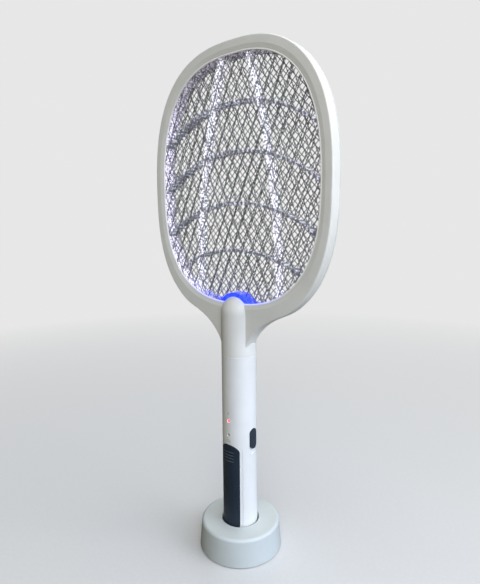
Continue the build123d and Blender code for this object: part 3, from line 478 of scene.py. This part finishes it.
def add_loops(vertices, faces, loops, closed=False):
    """Join loops of points, one after the other, into a skin with end caps unless it is closed."""
    first = len(vertices)
    sides = len(loops[0])
    for loop in loops:
        vertices.extend(loop)
    steps = len(loops) if closed else len(loops) - 1
    for step in range(steps):
        here = first + step * sides
        there = first + (step + 1) % len(loops) * sides
        for side in range(sides):
            after = (side + 1) % sides
            faces.append((here + side, here + after, there + after, there + side))
    if not closed:
        last = first + (len(loops) - 1) * sides
        faces.append(tuple(range(first + sides - 1, first - 1, -1)))
        faces.append(tuple(range(last, last + sides)))


def tangent(path, place, closed=False):
    """Direction of a path at one of its points."""
    if closed:
        before = path[place - 1]
        after = path[(place + 1) % len(path)]
    else:
        before = path[max(place - 1, 0)]
        after = path[min(place + 1, len(path) - 1)]
    return (after - before).normalized()


def clipped(points, grow):
    """The runs of a line of points that lie within a layer, without the very short ones."""
    runs = [[]]
    for point in points:
        if in_layer(point, grow):
            runs[-1].append(point)
        elif runs[-1]:
            runs.append([])
    return [run for run in runs if len(run) >= SHORTEST_RUN]


def resampled(points, spacing):
    """Points at even spacing along a line of points."""
    kept = [points[0]]
    left = spacing
    for start, end in zip(points, points[1:]):
        length = (end - start).length
        while length >= left:
            start = start.lerp(end, left / length)
            kept.append(start)
            length = (end - start).length
            left = spacing
        left -= length
    return kept


# ---------------------------------------------------------------- wire grids
DIAMOND = (12 * MM, 27 * MM)
SQUARE = (6.5 * MM, 6.5 * MM)
# Half width, half depth and number of sides of a strand.
TWISTED = (0.72 * MM, 0.36 * MM, 6)
FINE = (0.36 * MM, 0.34 * MM, 6)
# Turn of a twisted strand per metre, and how far strands rise and fall where they cross.
TURN = 2 * pi / (7.4 * MM)
TWISTED_LIFT = 0.22 * MM
FINE_LIFT = 0.2 * MM
TWISTED_STEPS = 14
FINE_STEPS = 2
UNEVEN_SCALE = 900
SHIFT_SCALE = 350
SHIFT_SEED = Vector((7, 0, 0))


def strand_paths(cell, depth, lift, steps):
    """Centrelines of two crossing families of strands that pass over and under each other."""
    width, length = cell
    half_height = GRID_HIGH.z - OPENING_Z
    reach = int(GRID_HIGH.x / width + half_height / length) + 1
    centre = Vector((0, depth, OPENING_Z))
    paths = []
    for lean in (1, -1):
        along = Vector((lean * width / 2, 0, length / 2))
        aside = Vector((-lean * width / 2, 0, length / 2))
        for row in range(-reach, reach + 1):
            points = []
            for step in range(-reach * steps, reach * steps + 1):
                travelled = step / steps
                over = lean * lift * cos(pi * (travelled + row))
                points.append(centre + along * travelled + aside * row + Vector((0, over, 0)))
            paths.extend(clipped(points, SHEET_EDGE - SHEET_MARGIN))
    return paths


def strand_loops(path, section, twist, wobble):
    """Cross-sections along a strand: an ellipse that turns as it goes, a little uneven."""
    half_width, half_depth, sides = section
    loops = []
    travelled = 0.0
    for place, point in enumerate(path):
        if place:
            travelled += (point - path[place - 1]).length
        along = tangent(path, place)
        across = along.cross(Vector((0, 1, 0))).normalized()
        out = across.cross(along)
        uneven = 1 + wobble * noise.noise(point * UNEVEN_SCALE)
        shift = across * (wobble * half_width * noise.noise(point * SHIFT_SCALE + SHIFT_SEED))
        turn = twist * travelled
        loop = []
        for side in range(sides):
            angle = 2 * pi * side / sides
            wide = half_width * uneven * cos(angle)
            deep = half_depth * uneven * sin(angle)
            loop.append(
                point
                + shift
                + across * (wide * cos(turn) - deep * sin(turn))
                + out * (wide * sin(turn) + deep * cos(turn))
            )
        loops.append(loop)
    return loops


def wire_grid(name, node, slot, cell, lift, steps, section, twist, wobble):
    """A woven grid in the place of a CAD grid."""
    depth = middle(node).y
    vertices, faces = [], []
    for path in strand_paths(cell, depth, lift, steps):
        add_loops(vertices, faces, strand_loops(path, section, twist, wobble))
    made = piece(name, vertices, faces, slot, "racket")
    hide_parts(node)
    return made


def outer_wires(side):
    """One of the two outer grids, of flat strands twisted as they go."""
    name = side + "_twisted_wires"
    node = side + "_outer_grid"
    wire_grid(name, node, "outer_wire", DIAMOND, TWISTED_LIFT, TWISTED_STEPS, TWISTED, TURN, wobble=0.45)


def middle_wires():
    """The grid of fine, plain wires between the outer ones."""
    name = "middle_square_wires"
    node = "high_voltage_grid"
    wire_grid(name, node, "middle_wire", SQUARE, FINE_LIFT, FINE_STEPS, FINE, twist=0, wobble=0.1)


outer_wires("front")
outer_wires("rear")
middle_wires()


# ---------------------------------------------------------------- clear toothed ribs
RIB_STEP = 0.75 * MM
# Path points from one tooth to the next, on the ring and the long ribs, and on the arches.
TOOTH_STATIONS = 4
ARCH_STATIONS = 7
# Radius of a long rib, and where it is furthest from the middle.
LONG_RIB = (700 * MM, 49 * MM, 275 * MM)
# Radius of the arches, the angle at which they start in radians, and the heights of their tops.
ARCH_RADIUS = 150 * MM
ARCH_START = 0.1
ARCH_CROWNS = [448 * MM, 403.5 * MM, 356 * MM, 310.8 * MM]
RIB_HALF_THICKNESS = 0.9 * MM
RING_OUTER = 3.6 * MM
RING_INNER = 0.2 * MM
RING_TOOTH = 0.9 * MM
RIB_TOOTH = 0.35 * MM
ARCH_TOOTH = 0.9 * MM
NOTCH = 0.8 * MM
BAR_CORNER = 0.3 * MM
RING_POINTS = 2400


def arc_points(centre_x, centre_z, radius, start, end):
    """Points of a circle in the head's plane, a rib step apart."""
    count = int(abs(end - start) * radius / RIB_STEP)
    points = []
    for place in range(count + 1):
        angle = start + (end - start) * place / count
        points.append(Vector((centre_x + radius * cos(angle), 0, centre_z + radius * sin(angle))))
    return points


def bar_loop(point, outwards, inner, outer, front, rear):
    """An eight-sided section between an inner and an outer edge and two depths."""
    corners = [
        (inner, front + BAR_CORNER),
        (inner + BAR_CORNER, front),
        (outer - BAR_CORNER, front),
        (outer, front + BAR_CORNER),
        (outer, rear - BAR_CORNER),
        (outer - BAR_CORNER, rear),
        (inner + BAR_CORNER, rear),
        (inner, rear - BAR_CORNER),
    ]
    return [point + outwards * side + Vector((0, depth, 0)) for side, depth in corners]


def toothed_bar(vertices, faces, path, front, rear, edges, tooth, notch_front, stations=TOOTH_STATIONS):
    """Sweep a bar along a path, with teeth on its inner side and notches where a grid rests."""
    inner, outer = edges
    loops = []
    for place, point in enumerate(path):
        along = tangent(path, place)
        outwards = Vector((0, 1, 0)).cross(along)
        raised = place % stations < stations / 2
        reach = inner - (tooth if raised else 0)
        cut = 0 if raised else NOTCH
        near = front + (cut if notch_front else 0)
        far = rear - (0 if notch_front else cut)
        loops.append(bar_loop(point, outwards, reach, outer, near, far))
    add_loops(vertices, faces, loops)


def ring_path():
    """The opening's edge from one side of the lamp round the top to the other side."""
    dense = [rim_point(-pi / 2 + 2 * pi * place / RING_POINTS, 0) for place in range(RING_POINTS + 1)]
    return clipped(resampled(dense, RIB_STEP), SHEET_EDGE)[0]


def long_rib_paths():
    """The two long bowed ribs."""
    paths = []
    radius, rib_x, rib_z = LONG_RIB
    for side in (1, -1):
        low = asin((GRID_LOW.z - rib_z) / radius)
        high = asin((GRID_HIGH.z - rib_z) / radius)
        points = arc_points(rib_x - radius, rib_z, radius, low, high)
        paths.append([Vector((side * point.x, 0, point.z)) for point in points])
    return paths


def arch_paths():
    """The arches that cross the long ribs."""
    ends = (ARCH_START, pi - ARCH_START)
    return [arc_points(0, crown - ARCH_RADIUS, ARCH_RADIUS, *ends) for crown in ARCH_CROWNS]


def rib_spacer(side, node, notch_front):
    """The clear, toothed ring and ribs in the place of a CAD spacer."""
    low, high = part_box(node)
    vertices, faces = [], []
    edges = (RING_INNER, RING_OUTER)
    toothed_bar(vertices, faces, ring_path(), low.y, high.y, edges, RING_TOOTH, notch_front)
    name = side + "_toothed_ring"
    made = piece(name, vertices, faces, "clear_rib", "racket", smooth=False, finish="clear_ring")
    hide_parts(node)
    edges = (-RIB_HALF_THICKNESS, RIB_HALF_THICKNESS)
    kinds = (
        ("ribs", long_rib_paths(), "clear_rib", RIB_TOOTH, TOOTH_STATIONS),
        ("arches", arch_paths(), "clear_arch", ARCH_TOOTH, ARCH_STATIONS),
    )
    for kind, paths, finish, tooth, stations in kinds:
        vertices, faces = [], []
        for path in paths:
            for run in clipped(path, SHEET_EDGE / 2):
                toothed_bar(vertices, faces, run, low.y, high.y, edges, tooth, notch_front, stations)
        piece(f"{side}_toothed_{kind}", vertices, faces, "clear_rib", "racket", smooth=False, finish=finish)


rib_spacer("front", "front_rib_spacer", notch_front=True)
rib_spacer("rear", "rear_rib_spacer", notch_front=False)


# ---------------------------------------------------------------- head shell details
LIP_HALF = (0.9 * MM, 0.8 * MM)
LIP_SIDES = 10
LIP_POINTS = 1440
LIP_STEP = 2 * MM
FRONT_LIP_PROUD = 0.5 * MM
REAR_LIP_PROUD = 0.6 * MM


def opening_lip(name, depth):
    """The thin rounded lip that runs round the edge of an opening."""
    dense = [rim_point(2 * pi * place / LIP_POINTS, 0) for place in range(LIP_POINTS + 1)]
    path = resampled(dense, LIP_STEP)
    if (path[0] - path[-1]).length < LIP_STEP / 2:
        path.pop()
    loops = []
    for place, point in enumerate(path):
        outwards = Vector((0, 1, 0)).cross(tangent(path, place, closed=True))
        loop = []
        for side in range(LIP_SIDES):
            angle = 2 * pi * side / LIP_SIDES
            step = outwards * LIP_HALF[0] * cos(angle) + Vector((0, depth + LIP_HALF[1] * sin(angle), 0))
            loop.append(point + step)
        loops.append(loop)
    vertices, faces = [], []
    add_loops(vertices, faces, loops, closed=True)
    piece(name, vertices, faces, "head_shell_white", "racket", finish="lip_white_painted_highlight")


opening_lip("front_opening_lip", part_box("front_outer_grid")[0].y - FRONT_LIP_PROUD)
opening_lip("rear_opening_lip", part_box("rear_outer_grid")[1].y + REAR_LIP_PROUD)


# ---------------------------------------------------------------- screws
SCREW_TURNS = 48
SCREW_RINGS = 12
# Shares of the head's radius and height, and of the shank.
RECESS_ARM = 0.62
RECESS_SLOT = 0.15
RECESS_DEPTH = 0.6
CROWN_DROP = 0.28
TIP_START = 0.85
TIP_RADIUS = 0.25
# Head radius, head height, shank radius and shank length.
HEAD_SCREW = (1.8 * MM, 0.9 * MM, 0.9 * MM, 8.9 * MM)
NECK_SCREW = (2.1 * MM, 0.8 * MM, MM, 4.4 * MM)
STAND_SCREW = (2.6 * MM, MM, MM, 9.4 * MM)
HEAD_SCREW_LINE = 6.6 * MM
HEAD_SCREW_COUNT = 8
HEAD_SCREW_TILT = 0.7
NECK_SCREW_TILT = 0.5
STAND_SCREW_CIRCLE = 31 * MM
STAND_SCREW_COUNT = 3
STAND_SCREW_START = radians(150)


def screw_top(x, y, head_radius, head_height):
    """Height of a screw's slightly domed head at a point, sunk in the arms of its cross recess."""
    crown = head_height * (1 - CROWN_DROP * (hypot(x, y) / head_radius) ** 2)
    narrow, wide = sorted((abs(x), abs(y)))
    in_recess = narrow < head_radius * RECESS_SLOT and wide < head_radius * RECESS_ARM
    return crown - head_height * RECESS_DEPTH if in_recess else crown


def screw(vertices, faces, place, axis, across, size):
    """A pan-head screw with a cross recess. Place is the seat under the head, axis points outwards."""
    head_radius, head_height, shank_radius, length = size
    side = axis.cross(across)
    directions = []
    for turn in range(SCREW_TURNS):
        angle = 2 * pi * turn / SCREW_TURNS
        directions.append((cos(angle), sin(angle)))
    rings = []
    for ring in range(1, SCREW_RINGS + 1):
        radius = head_radius * ring / SCREW_RINGS
        points = [(radius * x, radius * y) for x, y in directions]
        rings.append([(x, y, screw_top(x, y, head_radius, head_height)) for x, y in points])
    tip = (shank_radius * TIP_RADIUS, -length)
    for radius, height in ((head_radius, 0), (shank_radius, 0), (shank_radius, -length * TIP_START), tip):
        rings.append([(radius * x, radius * y, height) for x, y in directions])
    first = len(vertices)
    vertices.append(place + axis * screw_top(0, 0, head_radius, head_height))
    for ring in rings:
        vertices.extend(place + across * x + side * y + axis * height for x, y, height in ring)
    for turn in range(SCREW_TURNS):
        faces.append((first, first + 1 + turn, first + 1 + (turn + 1) % SCREW_TURNS))
    for ring in range(len(rings) - 1):
        here = first + 1 + ring * SCREW_TURNS
        there = here + SCREW_TURNS
        for turn in range(SCREW_TURNS):
            after = (turn + 1) % SCREW_TURNS
            faces.append((here + turn, there + turn, there + after, here + after))
    last = first + 1 + (len(rings) - 1) * SCREW_TURNS
    faces.append(tuple(range(last + SCREW_TURNS - 1, last - 1, -1)))


def head_screws():
    """The screws that join the head's two halves, sunk in the rear half."""
    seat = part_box("head_screws")[1].y - HEAD_SCREW[1]
    vertices, faces = [], []
    for count in range(HEAD_SCREW_COUNT):
        point = rim_point(2 * pi * (count + 0.5) / HEAD_SCREW_COUNT, HEAD_SCREW_LINE)
        point.y = seat
        tilt = HEAD_SCREW_TILT * count
        across = Vector((cos(tilt), 0, sin(tilt)))
        screw(vertices, faces, point, Vector((0, 1, 0)), across, HEAD_SCREW)
    made = piece("head_cross_screws", vertices, faces, "bright_steel", "racket", smooth=False)
    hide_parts("head_screws")


def neck_screw():
    """The screw at the rear of the neck joint."""
    place = Vector((0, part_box("neck_screw")[1].y - NECK_SCREW[1], middle("neck_screw").z))
    vertices, faces = [], []
    across = Vector((cos(NECK_SCREW_TILT), 0, sin(NECK_SCREW_TILT)))
    screw(vertices, faces, place, Vector((0, 1, 0)), across, NECK_SCREW)
    made = piece("neck_cross_screw", vertices, faces, "bright_steel", "racket", smooth=False)
    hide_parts("neck_screw")


def stand_screws():
    """The screws in the underside of the stand."""
    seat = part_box("stand_screws")[0].z + STAND_SCREW[1]
    vertices, faces = [], []
    for count in range(STAND_SCREW_COUNT):
        angle = STAND_SCREW_START + 2 * pi * count / STAND_SCREW_COUNT
        place = Vector((STAND_SCREW_CIRCLE * cos(angle), STAND_SCREW_CIRCLE * sin(angle), seat))
        across = Vector((cos(count), sin(count), 0))
        screw(vertices, faces, place, Vector((0, 0, -1)), across, STAND_SCREW)
    made = piece("stand_cross_screws", vertices, faces, "bright_steel", "stand", smooth=False)
    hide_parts("stand_screws")


head_screws()
neck_screw()
stand_screws()


# ---------------------------------------------------------------- printed marks and ridges on the handle
# Outlines of the two marks, in millimetres.
BOLT = [(0.7, 2.2), (-1.2, -0.3), (-0.1, -0.3), (-0.7, -2.2), (1.2, 0.4), (0.1, 0.4)]
BATTERY_OUTER = [(-2.0, -1.25), (2.0, -1.25), (2.0, 1.25), (-2.0, 1.25)]
BATTERY_INNER = [(-1.55, -0.8), (1.55, -0.8), (1.55, 0.8), (-1.55, 0.8)]
BATTERY_TIP = [(2.0, -0.5), (2.55, -0.5), (2.55, 0.5), (2.0, 0.5)]
BOLT_ABOVE_LIGHT = 8 * MM
BATTERY_BELOW_LIGHT = 6.3 * MM
PRINT_PROUD = 0.06 * MM
PRINT_SUNK = 0.10 * MM
PRINT_PARTS = 6
RIDGE_COUNT = 4
RIDGE_START = 7.2 * MM
RIDGE_PITCH = 3.2 * MM
RIDGE_STEPS = 8
RIDGE_HALF_WIDTH = 6.3 * MM
RIDGE_HALF_HEIGHT = 0.42 * MM
RIDGE_PROUD = 0.86 * MM
RIDGE_CROWN = 0.14 * MM
RIDGE_TOP_SHARE = 0.6
RIDGE_END_SHARE = 0.15


def on_handle(across, z, proud):
    """A point on the front of the handle, so far across it and proud of its surface."""
    radius = handle_radius(z)
    angle = across / radius
    return Vector(((radius + proud) * sin(angle), -(radius + proud) * cos(angle), z))


def divided(outline):
    """An outline with each edge cut into short parts, so that it follows the handle's curve."""
    points = []
    for (x, z), (next_x, next_z) in zip(outline, outline[1:] + outline[:1]):
        for part in range(PRINT_PARTS):
            share = part / PRINT_PARTS
            points.append((x + (next_x - x) * share, z + (next_z - z) * share))
    return points


def print_outline(vertices, faces, outline, centre_z):
    """A thin raised patch with the given outline, in millimetres."""
    layers = []
    for proud in (PRINT_PROUD, -PRINT_SUNK):
        layers.append([on_handle(x * MM, centre_z + z * MM, proud) for x, z in outline])
    add_loops(vertices, faces, layers)


def print_frame(vertices, faces, outer, inner, centre_z):
    """A thin raised closed line between two outlines with as many points."""
    loops = []
    for out, within in zip(divided(outer), divided(inner)):
        corners = ((out, PRINT_PROUD), (within, PRINT_PROUD), (within, -PRINT_SUNK), (out, -PRINT_SUNK))
        loops.append([on_handle(x * MM, centre_z + z * MM, proud) for (x, z), proud in corners])
    add_loops(vertices, faces, loops, closed=True)


def trigger_ridge_painted_highlights():
    """The paler tops of the trigger's finger ridges: a painted highlight."""
    vertices, faces = [], []
    for count in range(RIDGE_COUNT):
        ridge_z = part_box("grip_trigger")[1].z - RIDGE_START - RIDGE_PITCH * count
        loops = []
        for place in range(-RIDGE_STEPS, RIDGE_STEPS + 1):
            along = place / RIDGE_STEPS
            half = RIDGE_HALF_HEIGHT * min(1.0, (1 - along**4) ** 0.5 + RIDGE_END_SHARE)
            top = half * RIDGE_TOP_SHARE
            corners = ((half, 0), (top, RIDGE_CROWN), (-top, RIDGE_CROWN), (-half, 0))
            across = RIDGE_HALF_WIDTH * along
            loops.append([on_handle(across, ridge_z + rise, RIDGE_PROUD + crown) for rise, crown in corners])
        add_loops(vertices, faces, loops)
    piece("trigger_ridge_painted_highlights", vertices, faces, "trigger_navy", "trigger", finish="ridge_painted_highlight_navy")


def charging_mark():
    """The lightning bolt above the charging light."""
    vertices, faces = [], []
    print_outline(vertices, faces, BOLT, middle("charge_light_pipe").z + BOLT_ABOVE_LIGHT)
    piece("charging_mark", vertices, faces, "handle_white", "racket", smooth=False, finish="print_grey")


def battery_mark():
    """The outline of a battery below the power light."""
    vertices, faces = [], []
    battery_z = middle("power_light_pipe").z - BATTERY_BELOW_LIGHT
    print_frame(vertices, faces, BATTERY_OUTER, BATTERY_INNER, battery_z)
    print_outline(vertices, faces, BATTERY_TIP, battery_z)
    piece("battery_mark", vertices, faces, "handle_white", "racket", smooth=False, finish="print_grey")


trigger_ridge_painted_highlights()
charging_mark()
battery_mark()


# ---------------------------------------------------------------- finishes of the CAD nodes
slot_of = {part["node"]: part["material_slot"] for part in frame["record"]["subparts"]}
for name, node in nodes.items():
    node.data.materials.clear()
    node.data.materials.append(materials[slot_of[name]])


# ---------------------------------------------------------------- stage, light and camera
PALE = (0.80, 0.80, 0.80, 1)
FLOOR_ALBEDO = 0.60
FLOOR_GRAIN = 0.01
# The colour that the floor sends back to the object, and where it fades into the backdrop, in metres.
FLOOR_BOUNCE = (0.19, 0.17, 0.12)
FLOOR_FADE = (0.08, 1.3)
FLOOR_RADIUS = 3.0
FLOOR_TURNS = 96
# The world brightens with the cosine of the angle to a direction, from one end of a span to the other.
BRIGHT_DIRECTION = Vector((0.88, 0.22, 0.42)).normalized()
WORLD_SPAN = (-0.5, 0.9)
WORLD_AWAY = (0.02, 0.018, 0.012, 1)
WORLD_BETWEEN = (0.24, 0.24, 0.21, 1)
WORLD_TOWARDS = (0.96, 1.05, 1.22, 1)
CAMERA_PLACE = (0.2945, -0.3538, 0.3388)
CAMERA_TURN = radians(39.57)
CAMERA_DIP = radians(8.6)
CAMERA_ROLL = radians(-0.54)
CAMERA_LENS = 29.05
CAMERA_SENSOR = 36


def mixed_shaders(tree, factor, first, second):
    """The mix of two shaders."""
    mix = shader(tree, "MixShader", Fac=factor)
    tree.links.new(first.outputs[0], mix.inputs[1])
    tree.links.new(second.outputs[0], mix.inputs[2])
    return mix.outputs[0]


def floor_material():
    """A pale floor near the object that fades into the plain backdrop further out."""
    made, tree, principled, at = start_material("floor", Specular_IOR_Level=0.2, Roughness=0.6)
    grain = mottled(tree, at, 300, FLOOR_ALBEDO - FLOOR_GRAIN, FLOOR_ALBEDO + FLOOR_GRAIN)
    pale = shader(tree, "CombineColor", Red=grain, Green=grain, Blue=grain).outputs["Color"]
    seen = tree.nodes.new("ShaderNodeLightPath").outputs["Is Camera Ray"]
    tree.links.new(blended(tree, seen, FLOOR_BOUNCE, pale), principled.inputs["Base Color"])
    backdrop = shader(tree, "Emission", Color=PALE, Strength=1.0)
    away = shader(tree, "VectorMath", {"operation": "LENGTH"}, Vector=at).outputs["Value"]
    fade = maths(tree, "MULTIPLY", ranged(tree, away, *FLOOR_FADE, 0, 1), seen)
    mixed = mixed_shaders(tree, fade, principled, backdrop)
    tree.links.new(mixed, tree.nodes["Material Output"].inputs["Surface"])
    return made


def floor():
    """A wide flat disc under the stand."""
    vertices = [Vector((0, 0, 0))]
    for turn in range(FLOOR_TURNS):
        angle = 2 * pi * turn / FLOOR_TURNS
        vertices.append(Vector((FLOOR_RADIUS * cos(angle), FLOOR_RADIUS * sin(angle), 0)))
    faces = [(0, 1 + turn, 1 + (turn + 1) % FLOOR_TURNS) for turn in range(FLOOR_TURNS)]
    mesh = bpy.data.meshes.new("studio_floor")
    mesh.from_pydata(vertices, [], faces)
    mesh.materials.append(floor_material())
    made = bpy.data.objects.new("studio_floor", mesh)
    scene.collection.objects.link(made)


def world():
    """Soft light that is brightest on the right, behind a plain pale backdrop."""
    made = bpy.data.worlds.new("studio")
    made.use_nodes = True
    scene.world = made
    tree = made.node_tree
    lighting = tree.nodes["Background"]
    towards = tree.nodes.new("ShaderNodeTexCoord").outputs["Generated"]
    aligned = shader(tree, "VectorMath", {"operation": "DOT_PRODUCT"}, Vector=towards)
    aligned.inputs[1].default_value = BRIGHT_DIRECTION
    spread = ranged(tree, aligned.outputs["Value"], *WORLD_SPAN, 0, 1)
    ramp = shader(tree, "ValToRGB", Fac=spread)
    stops = ramp.color_ramp.elements
    stops[0].color = WORLD_AWAY
    stops[1].color = WORLD_TOWARDS
    stops.new(0.5).color = WORLD_BETWEEN
    tree.links.new(ramp.outputs["Color"], lighting.inputs["Color"])
    backdrop = shader(tree, "Background", Color=PALE, Strength=1.0)
    seen = tree.nodes.new("ShaderNodeLightPath").outputs["Is Camera Ray"]
    mixed = mixed_shaders(tree, seen, lighting, backdrop)
    tree.links.new(mixed, tree.nodes["World Output"].inputs["Surface"])


def area_light(name, place, aim, size, power, colour, spread=180):
    """A square soft light that faces a point: size in metres, power in watts, spread in degrees."""
    data = bpy.data.lights.new(name, "AREA")
    data.size = size
    data.spread = radians(spread)
    data.energy = power
    data.color = colour
    made = bpy.data.objects.new(name, data)
    made.location = place
    made.rotation_mode = "QUATERNION"
    made.rotation_quaternion = (aim - place).to_track_quat("-Z", "Y")
    scene.collection.objects.link(made)


def studio_lights():
    """The key light on the right, a low blue one beside it, and others in front, behind and above."""
    centre = (cad_low + cad_high) / 2
    foot = Vector((0, 0, 50 * MM))
    area_light("key", centre + Vector((1.15, 0.32, 0.62)), centre, 0.8, 7.8, (0.95, 0.97, 1.0))
    area_light("low_blue", Vector((0.60, -0.12, 0.10)), foot, 0.3, 0.16, (0.30, 0.50, 1.0), spread=60)
    area_light("front", centre + Vector((0.80, -0.90, 0.50)), centre, 0.7, 7.5, (1.0, 1.0, 0.99))
    area_light("rear", centre + Vector((-0.60, 1.00, 0.50)), centre, 0.8, 2.5, (1.0, 0.99, 0.96))
    area_light("top", centre + Vector((0.1, -0.1, 1.3)), centre, 0.9, 7, (0.97, 1.0, 0.99))


def camera():
    """A close view from the front right, with the object filling the frame."""
    level = cos(CAMERA_DIP)
    forwards = Vector((-sin(CAMERA_TURN) * level, cos(CAMERA_TURN) * level, -sin(CAMERA_DIP)))
    data = bpy.data.cameras.new("camera")
    data.sensor_width = CAMERA_SENSOR
    data.lens = CAMERA_LENS
    data.clip_start = 10 * MM
    made = bpy.data.objects.new("camera", data)
    made.location = CAMERA_PLACE
    made.rotation_mode = "QUATERNION"
    made.rotation_quaternion = forwards.to_track_quat("-Z", "Y") @ Quaternion((0, 0, 1), CAMERA_ROLL)
    scene.collection.objects.link(made)
    scene.camera = made


floor()
world()
studio_lights()
camera()
scene.view_settings.view_transform = "Standard"
